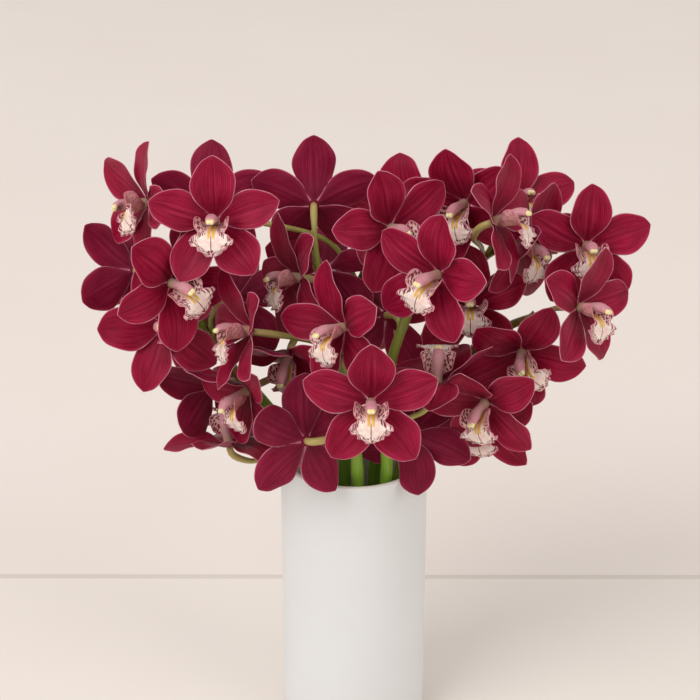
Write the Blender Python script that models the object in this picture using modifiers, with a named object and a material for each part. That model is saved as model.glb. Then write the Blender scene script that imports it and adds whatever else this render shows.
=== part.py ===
"""Cut cymbidium stems with burgundy blooms, standing in water in a plain white cylinder vase.

Lengths are millimetres until a mesh is made. Z is up, the vase stands on z = 0, and its
front is towards -Y. Each bloom has a burgundy body of five tepals round a small heart, and a
pale body of lip and column seated in front of that heart. Sixteen blooms that are mostly hidden
are one body each. Six green stems carry the blooms on short stalks and stand in plain holes in
the water.
"""
import math

import bmesh
import bpy
import numpy as np
from mathutils import Matrix

MM = 0.001
GAP = 0.3

# Vase and water
VASE_RADIUS = 60.0
VASE_HEIGHT = 250.0
VASE_WALL = 4.0
VASE_FLOOR = 8.0
FOOT_ROUND = 14.0
INNER_ROUND = 9.0
RIM_ROUND = VASE_WALL / 2
VASE_STEPS = 32
WATER_LEVEL = 165.0
WATER_STEPS = 20
WATER_GAP = 0.9
HOLE_ROOM = 0.55
HOLE_BELOW = 8.0

# Stems
STEM_THICK = 5.4
STEM_THIN = 3.0
STALK_RADIUS = 2.2
STEM_POINTS = 10
STALK_POINTS = 5
STALK_BEHIND = 30.0
OVARY_STRAIGHT = 5.0
STALK_FIRST = 3

# Blooms
TEPAL_THICK = 0.9
WIDEST_OUT = 1.15
ROUNDNESS = 0.72
ROOT_PINCH = 0.65
HEART_RADIUS = 4.6
SHOULDER_ROOM = math.radians(5.0)
ROOT_RADIUS = 4.2
HEART_FRONT = TEPAL_THICK / 2
HEART_BACK = TEPAL_THICK / 2
OVARY_RADIUS = 2.9
LIP_THICK = 0.9
LIP_LENGTH = 41.0
LIP_ROOT_LOW = 0.6
LIP_ROOT_OUT = 0.7
COLUMN_LENGTH = 27.0
COLUMN_HIGH = 0.3
LIP_SUNK = GAP + 0.55
TEPAL_ALONG = [0.0, 0.2, 0.5, 0.8, 1.0]
TEPAL_ACROSS = [-1.0, 0.0, 1.0]
LIP_ALONG = [0.0, 0.25, 0.48, 0.74, 1.0]
LIP_ACROSS = [-1.0, -0.4, 0.4, 1.0]
SEED = 29

# The direction that the bouquet is arranged to be seen from
VIEW_TILT = math.radians(29.0)
EYE_DISTANCE = 1650.0
RIM_CENTRE = np.array([0.0, 0.0, VASE_HEIGHT])
VIEW_RIGHT = np.array([1.0, 0.0, 0.0])
VIEW_UP = np.array([0.0, math.sin(VIEW_TILT), math.cos(VIEW_TILT)])
VIEW_TOWARD = np.array([0.0, -math.cos(VIEW_TILT), math.sin(VIEW_TILT)])

# Tepal kinds: direction round the bloom, length, width, rise at the root, curl to the tip, cup
TEPAL_KINDS = [
    ("petal_right", 20.0, 50.0, 31.0, 30.0, -36.0, 0.14),
    ("dorsal", 90.0, 50.0, 35.0, 34.0, -26.0, 0.20),
    ("petal_left", 160.0, 50.0, 31.0, 30.0, -36.0, 0.14),
    ("side_left", 232.0, 48.0, 33.0, 20.0, -28.0, 0.16),
    ("side_right", 308.0, 48.0, 33.0, 20.0, -28.0, 0.16),
]

# Blooms: name, stem, across and up as seen from the front, depth behind the vase's axis,
# turn to the right, tip upward, roll, and whether lip and tepals are one body
BLOOMS = [
    ("b01", "left", -170, 204, 5, -62, -8, 40, False),
    ("b02", "left", -115, 188, -40, -4, -2, 0, False),
    ("b03", "left", -149, 138, -55, 35, -15, 50, False),
    ("b04", "left", -154, 102, -20, -10, -5, 90, False),
    ("b05", "front_left", -44, 142, -25, -65, 0, 10, False),
    ("b06", "front_left", -84, 97, -60, -70, 5, 5, False),
    ("b07", "front_left", -52, 81, -30, -30, -60, 0, True),
    ("b08", "front_left", -33, 201, 30, 180, 30, 0, True),
    ("b09", "front_right", 30, 183, -30, 25, -10, 25, False),
    ("b10", "front_right", 69, 145, -80, -35, -15, -26, False),
    ("b11", "front_right", 92, 200, 0, -30, -20, 0, False),
    ("b12", "right_back", 115, 189, -40, 65, 15, 0, False),
    ("b13", "right_back", 136, 173, 5, 50, -25, 0, False),
    ("b14", "right_back", 187, 171, 5, 5, -10, 0, False),
    ("b15", "right", 184, 118, -35, 47, -5, 0, False),
    ("b16", "right", 136, 80, -30, -10, -35, 42, False),
    ("b17", "front_right", 70, 56, -55, 0, 65, 180, False),
    ("b18", "right", 98, 120, 5, -5, 0, 0, True),
    ("b19", "front_right", 14, 40, -110, 0, -10, 0, False),
    ("b21", "front_left", -8, 101, -80, -50, -10, 0, False),
    ("b22", "left", -100, 9, -30, -20, 65, 180, True),
    ("b23", "right", 103, 42, -50, -35, -35, 0, False),
    ("b24", "back", -118, 200, 35, 180, 30, 0, True),
    ("b25", "left", -180, 148, 20, -150, 0, 20, True),
    ("b26", "left", -116, 50, 5, -130, -20, 0, True),
    ("b27", "back", 42, 192, 45, -20, 10, 0, True),
    ("b28", "right_back", 134, 197, 40, 20, 20, 0, True),
    ("b29", "front_left", -40, 9, -80, -150, 10, 0, True),
    ("b30", "right", 108, 30, -15, -25, -35, 0, True),
    ("b31", "front_right", 48, 16, -35, 150, 0, 38, True),
    ("b32", "left", -98, 124, 10, 165, 0, 0, True),
    ("b33", "front_right", 26, 112, 30, -165, 0, 0, True),
    ("b34", "front_left", -85, 50, -45, -60, -30, 0, True),
    ("b35", "front_left", -14, 150, 30, 165, 10, 0, True),
]

# Stems: foot on the vase's floor and place in its mouth, then points as seen from the front
STEMS = {
    "left": ((-20, 2), (-42, -8), [(-75, 42, -15), (-114, 87, 5), (-136, 132, 20), (-141, 177, 25)]),
    "front_left": ((-4, -14), (3, -43), [(-7, 58, -50), (-24, 116, -20), (-32, 165, 10)]),
    "front_right": ((14, -14), (26, -38), [(34, 87, -40), (50, 132, -20), (58, 177, 5)]),
    "back": ((-6, 18), (-8, 26), [(-7, 99, 45), (9, 148, 50), (30, 185, 45)]),
    "right": ((20, 4), (44, 2), [(71, 42, 0), (107, 87, 5), (136, 109, -5), (161, 115, -12)]),
    "right_back": ((10, 20), (22, 28), [(62, 99, 35), (103, 153, 30), (144, 177, 20), (167, 165, 15)]),
}

# How the blooms make room for each other
ROOM = 2.0
OWN_ROOM = 1.4
ROUNDS = 140
CALM_ROUNDS = 30
CLOUD = 24
HULL_SPARE = 1.035
SWING_LIMIT = np.radians([16.0, 34.0, 40.0])
SHIFT_LIMIT = 22.0
BOW_LIMIT = 16.0


def eased(stations, values, t):
    """Smooth curve through values given at stations."""
    s = np.asarray(stations, float)
    v = np.asarray(values, float)
    slope = np.gradient(v, s, axis=0)
    t = np.asarray(t, float)
    k = np.clip(np.searchsorted(s, t, side="right") - 1, 0, len(s) - 2)
    h = s[k + 1] - s[k]
    f = (t - s[k]) / h
    if v.ndim > 1:
        h = h[..., None]
        f = f[..., None]
    near = v[k] * (1 + 2 * f) * (1 - f) ** 2 + h * slope[k] * f * (1 - f) ** 2
    far = v[k + 1] * f ** 2 * (3 - 2 * f) + h * slope[k + 1] * f ** 2 * (f - 1)
    return near + far


def smooth_path(points, count):
    """`count` points along a smooth curve through the given points."""
    points = np.asarray(points, float)
    steps = np.linalg.norm(np.diff(points, axis=0), axis=1)
    along = np.concatenate([[0.0], np.cumsum(steps)])
    return eased(along, points, np.linspace(0.0, along[-1], count))


def unit(v):
    return v / np.linalg.norm(v)


def seen_at(across, up, behind):
    """World point that is seen there from the front, at a depth behind the vase's axis."""
    eye = RIM_CENTRE + VIEW_TOWARD * EYE_DISTANCE
    ray = RIM_CENTRE + VIEW_RIGHT * across + VIEW_UP * up - eye
    return eye + ray * (behind - eye[1]) / ray[1]


def bloom_axes(turn, tip, roll):
    """Columns: the bloom's right, its top and the way it faces."""
    a, b, c = (math.radians(value) for value in (turn, tip, roll))
    face = VIEW_RIGHT * math.sin(a) * math.cos(b) + VIEW_UP * math.sin(b)
    face = face + VIEW_TOWARD * math.cos(a) * math.cos(b)
    top = -VIEW_RIGHT * math.sin(a) * math.sin(b) + VIEW_UP * math.cos(b)
    top = top - VIEW_TOWARD * math.cos(a) * math.sin(b)
    side = np.cross(top, face)
    rolled_top = top * math.cos(c) - side * math.sin(c)
    rolled_side = side * math.cos(c) + top * math.sin(c)
    return np.column_stack([rolled_side, rolled_top, face])


def tepal_shapes(index):
    """The five tepals of one bloom, each a little different from its kind."""
    rng = np.random.default_rng(SEED + index)
    shapes = []
    for _, direction, length, width, rise, curl, cup in TEPAL_KINDS:
        vary = rng.uniform(-1.0, 1.0, 6)
        shapes.append({
            "direction": math.radians(direction + 3.0 * vary[0]),
            "length": length * (1 + 0.04 * vary[1]),
            "width": width * (1 + 0.06 * vary[2]),
            "rise": math.radians(rise + 5.0 * vary[3]),
            "curl": math.radians(curl + 12.0 * vary[4]),
            "twist": math.radians(10.0 * vary[5]),
            "cup": cup,
            "size": 1.0,
        })
    return shapes


def tepal_points(shape, swing, t, u):
    """Middle surface of a tepal: x out from the centre, y across, z forward.

    swing bends the blade sideways, forward and round its own length, growing from the root.
    """
    fine = np.linspace(0.0, 1.0, 41)
    grown = 1 - (1 - fine) ** 3
    yaw = swing[0] * grown
    lean = shape["rise"] + shape["curl"] * fine + swing[1] * grown
    steps = np.stack([np.cos(lean) * np.cos(yaw), np.cos(lean) * np.sin(yaw), np.sin(lean)])
    steps = (steps[:, 1:] + steps[:, :-1]) / 2 * shape["length"] * shape["size"] / (len(fine) - 1)
    line = np.concatenate([np.zeros((3, 1)), np.cumsum(steps, axis=1)], axis=1)
    middle = np.stack([np.interp(t, fine, coordinate) for coordinate in line], axis=-1)
    yaw = np.interp(t, fine, yaw)
    lean = np.interp(t, fine, lean)
    s = ((0.04 + t) / 1.04) ** WIDEST_OUT
    half = 0.5 * shape["width"] * shape["size"] * np.clip(4 * s * (1 - s), 0.0, 1.0) ** ROUNDNESS
    half = half * (1 - ROOT_PINCH * (1 - t) ** 4)
    lift = shape["cup"] * half * u ** 2
    spin = shape["twist"] * t + swing[2] * (1 - (1 - t) ** 3)
    across = half * u * np.cos(spin) - lift * np.sin(spin)
    height = half * u * np.sin(spin) + lift * np.cos(spin)
    side = np.stack([-np.sin(yaw), np.cos(yaw), 0 * yaw], axis=-1)
    front = np.stack([-np.sin(lean) * np.cos(yaw), -np.sin(lean) * np.sin(yaw), np.cos(lean)], axis=-1)
    points = middle + across[..., None] * side + height[..., None] * front
    return points + [ROOT_RADIUS, 0.0, 0.0]


def lip_points(t, u):
    """Middle surface of the lip: x right, y up, z forward."""
    fine = np.linspace(0.0, 1.0, 81)
    bend = np.radians(eased([0.0, 0.12, 0.35, 0.6, 0.8, 1.0], [55.0, 30.0, 12.0, 60.0, 105.0, 124.0], fine))
    step = LIP_LENGTH / (len(fine) - 1)
    down = np.concatenate([[0.0], np.cumsum(np.sin((bend[1:] + bend[:-1]) / 2)) * step])
    ahead = np.concatenate([[0.0], np.cumsum(np.cos((bend[1:] + bend[:-1]) / 2)) * step])
    angle = np.interp(t, fine, bend)
    low = -LIP_ROOT_LOW - np.interp(t, fine, down)
    front = HEART_FRONT + GAP + LIP_ROOT_OUT + np.interp(t, fine, ahead)
    stations = [0.0, 0.1, 0.25, 0.45, 0.6, 0.78, 1.0]
    half = eased(stations, [1.8, 4.0, 14.0, 17.0, 12.5, 14.0, 4.0], t)
    fold = np.radians(eased(stations, [20.0, 40.0, 78.0, 70.0, 26.0, -8.0, -16.0], t))
    fold = np.where(np.abs(fold) < 0.01, 0.01, fold)
    x = half / fold * np.sin(fold * u)
    lift = half / fold * (1 - np.cos(fold * u))
    return np.stack([x, low + lift * np.cos(angle), front + lift * np.sin(angle)], axis=-1)


def column_path(count):
    """Centre line and radii of the column, from its foot to its hood."""
    t = np.linspace(0.0, 1.0, count)
    angle = np.radians(eased([0.0, 0.35, 1.0], [0.0, 5.0, -42.0], t))
    step = COLUMN_LENGTH / (count - 1)
    mean = (angle[1:] + angle[:-1]) / 2
    mean[0] = 0.0
    up = np.concatenate([[0.0], np.cumsum(np.sin(mean)) * step])
    ahead = np.concatenate([[0.0], np.cumsum(np.cos(mean)) * step])
    points = np.stack([np.zeros(count), COLUMN_HIGH + up, HEART_FRONT + GAP + ahead], axis=-1)
    radii = eased([0.0, 0.4, 0.8, 1.0], [4.0, 3.7, 4.6, 4.0], t)
    return points, radii


def outward(shape):
    """Axes of a tepal in the bloom's frame: out along it, across it and forward."""
    a = shape["direction"]
    return np.array([[math.cos(a), -math.sin(a), 0], [math.sin(a), math.cos(a), 0], [0, 0, 1]])


def stem_path(name):
    """Centre line of a stem from its cut foot on the vase's floor to its top."""
    foot, mouth, seen = STEMS[name]
    low = np.array([foot[0], foot[1], VASE_FLOOR])
    high = np.array([mouth[0], mouth[1], VASE_HEIGHT])
    slope = unit(high - low)
    low[2] += GAP + STEM_THICK * math.sqrt(1 - slope[2] ** 2)
    points = [low, low + (high - low) * 0.5, high]
    points.extend(seen_at(*place) for place in seen)
    return smooth_path(points, STEM_POINTS)


def stalk_path(path, centre, face, bow):
    """Centre line of a bloom's stalk, from inside the stem to the back of the bloom."""
    seat = centre - face * (HEART_BACK + GAP)
    end = seat - face * OVARY_STRAIGHT
    behind = seat - face * STALK_BEHIND + bow
    pieces = [np.linspace(path[k], path[k + 1], 9)[:-1] for k in range(STALK_FIRST, len(path) - 1)]
    fine = np.concatenate(pieces + [path[-1:]])
    nearest = int(np.argmin(np.linalg.norm(fine - behind, axis=1)))
    k = max(nearest - 4, 0)
    root = fine[k]
    grow = unit(fine[min(k + 1, len(fine) - 1)] - fine[min(k, len(fine) - 2)])
    leave = root + grow * 0.35 * np.linalg.norm(behind - root)
    f = np.linspace(0.0, 1.0, STALK_POINTS - 1)[:, None]
    curve = root * (1 - f) ** 3 + 3 * leave * f * (1 - f) ** 2 + 3 * behind * f ** 2 * (1 - f) + end * f ** 3
    return np.concatenate([curve, [seat]])


def padded(points):
    return points[np.arange(CLOUD) % len(points)]


def rod_cloud(a, b, radius_a, radius_b):
    """Points round both ends of a straight rod."""
    axis = unit(b - a)
    side = unit(np.cross(axis, [0.3, 0.9, 0.2] if abs(axis[1]) < 0.8 else [1.0, 0.1, 0.0]))
    other = np.cross(axis, side)
    angles = np.arange(6) * math.pi / 3
    ring = np.cos(angles)[:, None] * side + np.sin(angles)[:, None] * other
    return padded(np.concatenate([a + ring * radius_a, b + ring * radius_b]))


def even_directions(count):
    """Directions spread evenly over a sphere, with their opposites."""
    k = np.arange(count) + 0.5
    z = 1 - 2 * k / count
    spin = k * math.pi * (3 - math.sqrt(5))
    ring = np.sqrt(1 - z ** 2)
    half = np.stack([ring * np.cos(spin), ring * np.sin(spin), z], axis=-1)
    return np.concatenate([half, -half])


class Arrangement:
    """Blooms, stalks and stems as clouds of points, which make room for each other."""

    def __init__(self):
        self.rows = BLOOMS
        self.axes = [bloom_axes(*row[5:8]) for row in BLOOMS]
        self.home = np.array([seen_at(*row[2:5]) for row in BLOOMS])
        self.centres = self.home.copy()
        self.shapes = [tepal_shapes(k) for k in range(len(BLOOMS))]
        self.swings = np.zeros((len(BLOOMS), 5, 3))
        self.bows = np.zeros((len(BLOOMS), 3))
        self.paths = {name: stem_path(name) for name in STEMS}
        self.radii = {name: stem_radii(len(path)) for name, path in self.paths.items()}
        t, u = np.meshgrid(TEPAL_ALONG, TEPAL_ACROSS, indexing="ij")
        self.tepal_grid = (t.ravel(), u.ravel())
        t, u = np.meshgrid([0.25, 0.45, 0.72, 1.0], [-1.0, 0.0, 1.0], indexing="ij")
        column, radii = column_path(3)
        hood = []
        for point, radius in zip(column[1:], radii[1:]):
            hood.extend(point + radius * np.array([[0, 1, 0], [1, 0, 0], [-1, 0, 0]]))
        foot = column[:1] + [0.0, 0.0, 1.0]
        self.lip_cloud = np.concatenate([lip_points(t, u).reshape(-1, 3), hood, foot])
        self.list_pieces()

    def list_pieces(self):
        """Who owns each cloud: bloom number, kind, tepal number, and the stem that it belongs to."""
        owners = []
        for k, row in enumerate(self.rows):
            owners.extend((k, "tepal", tepal, row[1]) for tepal in range(5))
            owners.extend((k, "outer", tepal, row[1]) for tepal in range(5))
            owners.append((k, "lip", 0, row[1]))
            owners.append((k, "tongue", 0, row[1]))
            owners.append((k, "ovary", 0, row[1]))
            owners.extend((k, "stalk", part, row[1]) for part in range(STALK_POINTS - 2))
        for name, path in self.paths.items():
            owners.extend((-1, "stem", part, name) for part in range(STALK_FIRST, len(path) - 1))
        owners.append((-1, "vase", 0, ""))
        self.owners = owners
        count = len(owners)
        bloom = np.array([owner[0] for owner in owners])
        kind = np.array([owner[1] for owner in owners])
        stem = np.array([owner[3] for owner in owners])
        woody = np.isin(kind, ["ovary", "stalk", "stem"])
        skip = np.eye(count, dtype=bool)
        skip |= (bloom[:, None] == bloom[None, :]) & (bloom[:, None] >= 0)
        skip |= (bloom[:, None] < 0) & (bloom[None, :] < 0)
        skip |= woody[:, None] & woody[None, :] & (stem[:, None] == stem[None, :])
        skip |= (kind[:, None] == "vase") & np.isin(kind, ["stalk", "stem"])[None, :]
        skip |= (kind[None, :] == "vase") & np.isin(kind, ["stalk", "stem"])[:, None]
        inner = np.isin(kind, ["outer", "tongue"])
        skip |= inner[:, None] | inner[None, :]
        beside = inner[:, None] & inner[None, :]
        beside |= (kind[:, None] == "tepal") & (kind[None, :] == "stalk")
        self.family = (bloom[:, None] == bloom[None, :]) & beside
        skip &= ~self.family | np.eye(count, dtype=bool)
        self.allowed = np.triu(~skip, 1)
        weights = {
            "tepal": 1.0, "outer": 1.0, "lip": 0.35, "tongue": 0.0,
            "ovary": 0.2, "stalk": 0.25, "stem": 0.0, "vase": 0.0}
        self.weight = np.array([weights[name] for name in kind])
        self.bloom = bloom
        self.kind = kind
        self.tepal = np.array([owner[2] for owner in owners])

    def clouds(self):
        """All clouds in world space."""
        out = []
        for k in range(len(self.rows)):
            axes = self.axes[k]
            centre = self.centres[k]
            outer = []
            for tepal, shape in enumerate(self.shapes[k]):
                local = tepal_points(shape, self.swings[k, tepal], *self.tepal_grid)
                blade = centre + local @ (axes @ outward(shape)).T
                out.append(padded(blade))
                outer.append(padded(blade[len(TEPAL_ACROSS):]))
            out.extend(outer)
            out.append(padded(centre + self.lip_cloud @ axes.T))
            out.append(padded(centre + self.lip_cloud[:-1] @ axes.T))
            path = stalk_path(self.paths[self.rows[k][1]], centre, axes[:, 2], self.bows[k])
            out.append(rod_cloud(centre, path[-3], HEART_RADIUS, OVARY_RADIUS))
            for j in range(STALK_POINTS - 2):
                out.append(rod_cloud(path[j], path[j + 1], STALK_RADIUS, STALK_RADIUS))
        for name, path in self.paths.items():
            radii = self.radii[name]
            for j in range(STALK_FIRST, len(path) - 1):
                out.append(rod_cloud(path[j], path[j + 1], radii[j], radii[j + 1]))
        angles = np.arange(12) * math.pi / 6
        ring = np.stack([np.cos(angles), np.sin(angles), 0 * angles], axis=-1) * VASE_RADIUS * HULL_SPARE
        out.append(np.concatenate([ring, ring + RIM_CENTRE]))
        return np.array(out)

    def crowded(self, clouds, directions):
        """Pairs of clouds closer than ROOM, the way to part them, and how far."""
        middle = clouds.mean(axis=1)
        reach = np.linalg.norm(clouds - middle[:, None], axis=2).max(axis=1)
        apart = np.linalg.norm(middle[:, None] - middle[None, :], axis=2)
        close = self.allowed & (apart < reach[:, None] + reach[None, :] + ROOM)
        first, second = np.nonzero(close)
        spread = clouds @ directions.T
        low = spread.min(axis=1)
        high = spread.max(axis=1)
        room = low[first] - high[second]
        best = room.argmax(axis=1)
        way = directions[best]
        space = room[np.arange(len(first)), best]
        keep = space < ROOM + 4.0
        spare = self.family[first[keep], second[keep]] * (ROOM - OWN_ROOM)
        first, second, way, space = first[keep], second[keep], way[keep], space[keep]
        for spread_angle in (0.16, 0.07, 0.03, 0.012):
            tries = way[:, None] + spread_angle * directions[None, ::7]
            tries = np.concatenate([way[:, None], tries], axis=1)
            tries /= np.linalg.norm(tries, axis=2, keepdims=True)
            low = np.einsum("pij,pkj->pik", clouds[first], tries).min(axis=1)
            high = np.einsum("pij,pkj->pik", clouds[second], tries).max(axis=1)
            room = low - high
            best = room.argmax(axis=1)
            way = tries[np.arange(len(first)), best]
            space = room[np.arange(len(first)), best]
        space = space + spare
        keep = space < ROOM
        return first[keep], second[keep], way[keep], space[keep]

    def touch(self, cloud, way):
        """The side of a cloud that lies furthest back along a direction."""
        reach = cloud @ way
        share = np.exp(-(reach - reach.min()) / 3.0)
        return (cloud * share[:, None]).sum(axis=0) / share.sum()

    def push(self, piece, cloud, shove, way, strength, moves):
        """Notes how one cloud gives way to a shove."""
        k = self.bloom[piece]
        if k < 0:
            return
        kind = self.kind[piece]
        if kind == "tongue":
            return
        if kind in ("tepal", "outer"):
            tepal = self.tepal[piece]
            arm = self.touch(cloud, way) - self.centres[k]
            spin = np.cross(arm, shove) / (arm @ arm + 150.0)
            turn = self.axes[k] @ outward(self.shapes[k][tepal])
            way_round = np.array([spin @ self.axes[k][:, 2], -spin @ turn[:, 1], spin @ turn[:, 0]])
            moves["swing"][k, tepal] += strength * way_round
            if kind == "tepal":
                moves["shift"][k] += 0.12 * shove
        elif kind == "stalk":
            moves["bow"][k] += 0.8 * shove
            moves["shift"][k] += 0.10 * shove
        else:
            moves["shift"][k] += 0.6 * shove

    def relax(self):
        """Lets crowded pieces push each other apart, bit by bit."""
        directions = even_directions(90)
        for turn in range(ROUNDS):
            clouds = self.clouds()
            first, second, way, space = self.crowded(clouds, directions)
            self.left_over = ROOM - space
            if len(space) == 0:
                break
            moves = {
                "swing": np.zeros_like(self.swings),
                "shift": np.zeros_like(self.centres),
                "bow": np.zeros_like(self.bows),
            }
            for a, b, n, gap in zip(first, second, way, space):
                shove = min(ROOM - gap + 0.1, 8.0)
                share = self.weight[a] / (self.weight[a] + self.weight[b])
                self.push(a, clouds[a], n * shove * share, n, 0.7, moves)
                self.push(b, clouds[b], -n * shove * (1 - share), -n, 0.7, moves)
                if turn > ROUNDS // 2 and gap < 0.5:
                    for piece in (a, b):
                        if self.kind[piece] in ("tepal", "outer"):
                            k, tepal = self.bloom[piece], self.tepal[piece]
                            shape = self.shapes[k][tepal]
                            shape["size"] = max(shape["size"] * 0.995, 0.72)
            self.swings += np.clip(moves["swing"], -0.12, 0.12)
            self.swings = np.clip(self.swings, -SWING_LIMIT, SWING_LIMIT)
            ahead = moves["shift"] @ VIEW_TOWARD
            shift = 0.5 * moves["shift"] + 0.5 * ahead[:, None] * VIEW_TOWARD
            size = np.maximum(np.linalg.norm(shift, axis=1, keepdims=True), 1e-9)
            self.centres += shift * np.minimum(1.0, 4.0 / size)
            self.bows += moves["bow"]
            if turn < ROUNDS - CALM_ROUNDS:
                self.swings *= 0.985
                self.centres += (self.home - self.centres) * 0.02
                self.bows *= 0.98
            away = self.centres - self.home
            size = np.maximum(np.linalg.norm(away, axis=1, keepdims=True), 1e-9)
            self.centres = self.home + away * np.minimum(1.0, SHIFT_LIMIT / size)
            size = np.maximum(np.linalg.norm(self.bows, axis=1, keepdims=True), 1e-9)
            self.bows *= np.minimum(1.0, BOW_LIMIT / size)


def stem_radii(count):
    thickness = [STEM_THICK, STEM_THICK * 0.92, STEM_THIN]
    return np.interp(np.linspace(0.0, 1.0, count), [0.0, 0.55, 1.0], thickness)


def clear_scene():
    for obj in list(bpy.data.objects):
        bpy.data.objects.remove(obj, do_unlink=True)


def new_collection(name):
    group = bpy.data.collections.new(name)
    bpy.context.scene.collection.children.link(group)
    return group


def material(name, colour, roughness, metallic=0.0):
    paint = bpy.data.materials.new(name)
    paint.use_nodes = True
    shader = paint.node_tree.nodes["Principled BSDF"]
    shader.inputs["Base Color"].default_value = (*colour, 1.0)
    shader.inputs["Roughness"].default_value = roughness
    shader.inputs["Metallic"].default_value = metallic
    return paint


def new_object(name, mesh, group):
    obj = bpy.data.objects.new(name, mesh)
    group.objects.link(obj)
    return obj


def sheet(name, point_rule, along, across, thickness, group):
    """A blade: a grid laid out by a rule for its points, split into triangles, then thickened."""
    bm = bmesh.new()
    rows = len(along) - 1
    files = len(across) - 1
    bmesh.ops.create_grid(bm, x_segments=rows, y_segments=files, size=0.5)
    t = np.interp([v.co.x + 0.5 for v in bm.verts], np.linspace(0, 1, rows + 1), along)
    u = np.interp([v.co.y + 0.5 for v in bm.verts], np.linspace(0, 1, files + 1), across)
    for vertex, point in zip(bm.verts, point_rule(t, u)):
        vertex.co = point * MM
    bmesh.ops.remove_doubles(bm, verts=bm.verts, dist=0.02 * MM)
    bmesh.ops.triangulate(bm, faces=bm.faces)
    mesh = bpy.data.meshes.new(name)
    bm.to_mesh(mesh)
    bm.free()
    obj = new_object(name, mesh, group)
    solidify = obj.modifiers.new("thickness", "SOLIDIFY")
    solidify.thickness = thickness * MM
    solidify.offset = 0.0
    return obj


def rod(name, points, radii, sides_level, group):
    """A round rod along points, as a mesh with welded caps."""
    curve = bpy.data.curves.new(name, "CURVE")
    curve.dimensions = "3D"
    curve.bevel_depth = MM
    curve.bevel_resolution = sides_level
    curve.use_fill_caps = True
    spline = curve.splines.new("POLY")
    spline.points.add(len(points) - 1)
    for slot, point, radius in zip(spline.points, points, radii):
        slot.co = (*(point * MM), 1.0)
        slot.radius = radius
    guide = new_object(name + "_line", curve, group)
    bpy.context.view_layer.update()
    mesh = bpy.data.meshes.new_from_object(guide.evaluated_get(bpy.context.evaluated_depsgraph_get()))
    bpy.data.objects.remove(guide, do_unlink=True)
    bm = bmesh.new()
    bm.from_mesh(mesh)
    bmesh.ops.remove_doubles(bm, verts=bm.verts, dist=0.01 * MM)
    bmesh.ops.recalc_face_normals(bm, faces=bm.faces)
    bm.to_mesh(mesh)
    bm.free()
    return new_object(name, mesh, group)


def in_sector(point, middle, low, high):
    """A point turned about the bloom's axis into a tepal's own sector."""
    angle = (math.atan2(point[1], point[0]) - middle + math.pi) % (2 * math.pi) - math.pi
    angle = middle + min(max(angle, low), high)
    reach = math.hypot(point[0], point[1])
    return np.array([reach * math.cos(angle), reach * math.sin(angle), point[2]])


def star(name, shapes, swings, group):
    """The five tepals and the small heart that they grow from, as one thickened sheet."""
    bm = bmesh.new()
    ring = []
    aheads = []
    for k, shape in enumerate(shapes):
        following = shapes[(k + 1) % len(shapes)]["direction"]
        aheads.append((following - shape["direction"]) % (2 * math.pi))
        ring.append(shape["direction"])
        ring.append(shape["direction"] + aheads[k] / 2)
    corners = [np.array([math.cos(a), math.sin(a), 0.0]) * HEART_RADIUS for a in ring]
    rows = len(TEPAL_ALONG) - 1
    files = len(TEPAL_ACROSS) - 1
    for k, shape in enumerate(shapes):
        blade = bmesh.ops.create_grid(bm, x_segments=rows, y_segments=files, size=0.5)["verts"]
        t = np.interp([v.co.x + 0.5 for v in blade], np.linspace(0, 1, rows + 1), TEPAL_ALONG)
        u = np.interp([v.co.y + 0.5 for v in blade], np.linspace(0, 1, files + 1), TEPAL_ACROSS)
        points = tepal_points(shape, swings[k], t, u) @ outward(shape).T
        sector = (-aheads[k - 1] / 2 + SHOULDER_ROOM, aheads[k] / 2 - SHOULDER_ROOM)
        for vertex, point, along, across in zip(blade, points, t, u):
            if along == TEPAL_ALONG[0]:
                point = corners[(2 * k + int(round(across))) % len(corners)]
            elif along == TEPAL_ALONG[1]:
                point = in_sector(point, shape["direction"], *sector)
            vertex.co = point * MM
    heart = bmesh.ops.create_circle(bm, cap_ends=True, segments=len(corners), radius=HEART_RADIUS * MM)
    for vertex, corner in zip(heart["verts"], corners):
        vertex.co = corner * MM
    bmesh.ops.remove_doubles(bm, verts=bm.verts, dist=0.02 * MM)
    bmesh.ops.recalc_face_normals(bm, faces=bm.faces)
    bmesh.ops.triangulate(bm, faces=bm.faces)
    mesh = bpy.data.meshes.new(name)
    bm.to_mesh(mesh)
    bm.free()
    obj = new_object(name, mesh, group)
    solidify = obj.modifiers.new("thickness", "SOLIDIFY")
    solidify.thickness = TEPAL_THICK * MM
    solidify.offset = 0.0
    return obj


def fused(name, pieces, group):
    """Joins overlapping pieces in one body, by one Boolean union on a collection."""
    extra = new_collection(name + "_pieces")
    for piece in pieces[1:]:
        group.objects.unlink(piece)
        extra.objects.link(piece)
    union = pieces[0].modifiers.new("union", "BOOLEAN")
    union.operation = "UNION"
    union.operand_type = "COLLECTION"
    union.collection = extra
    union.solver = "EXACT"
    bpy.context.view_layer.update()
    mesh = bpy.data.meshes.new_from_object(pieces[0].evaluated_get(bpy.context.evaluated_depsgraph_get()))
    mesh.name = name
    for piece in pieces:
        bpy.data.objects.remove(piece, do_unlink=True)
    bpy.data.collections.remove(extra)
    bm = bmesh.new()
    bm.from_mesh(mesh)
    bmesh.ops.remove_doubles(bm, verts=bm.verts, dist=0.0005 * MM)
    bmesh.ops.triangulate(bm, faces=bm.faces)
    bm.to_mesh(mesh)
    bm.free()
    return new_object(name, mesh, group)


def placed(obj, axes, centre):
    """Puts a bloom's body where the bloom is."""
    obj.matrix_world = Matrix.Translation(centre * MM) @ Matrix(axes).to_4x4()


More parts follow.
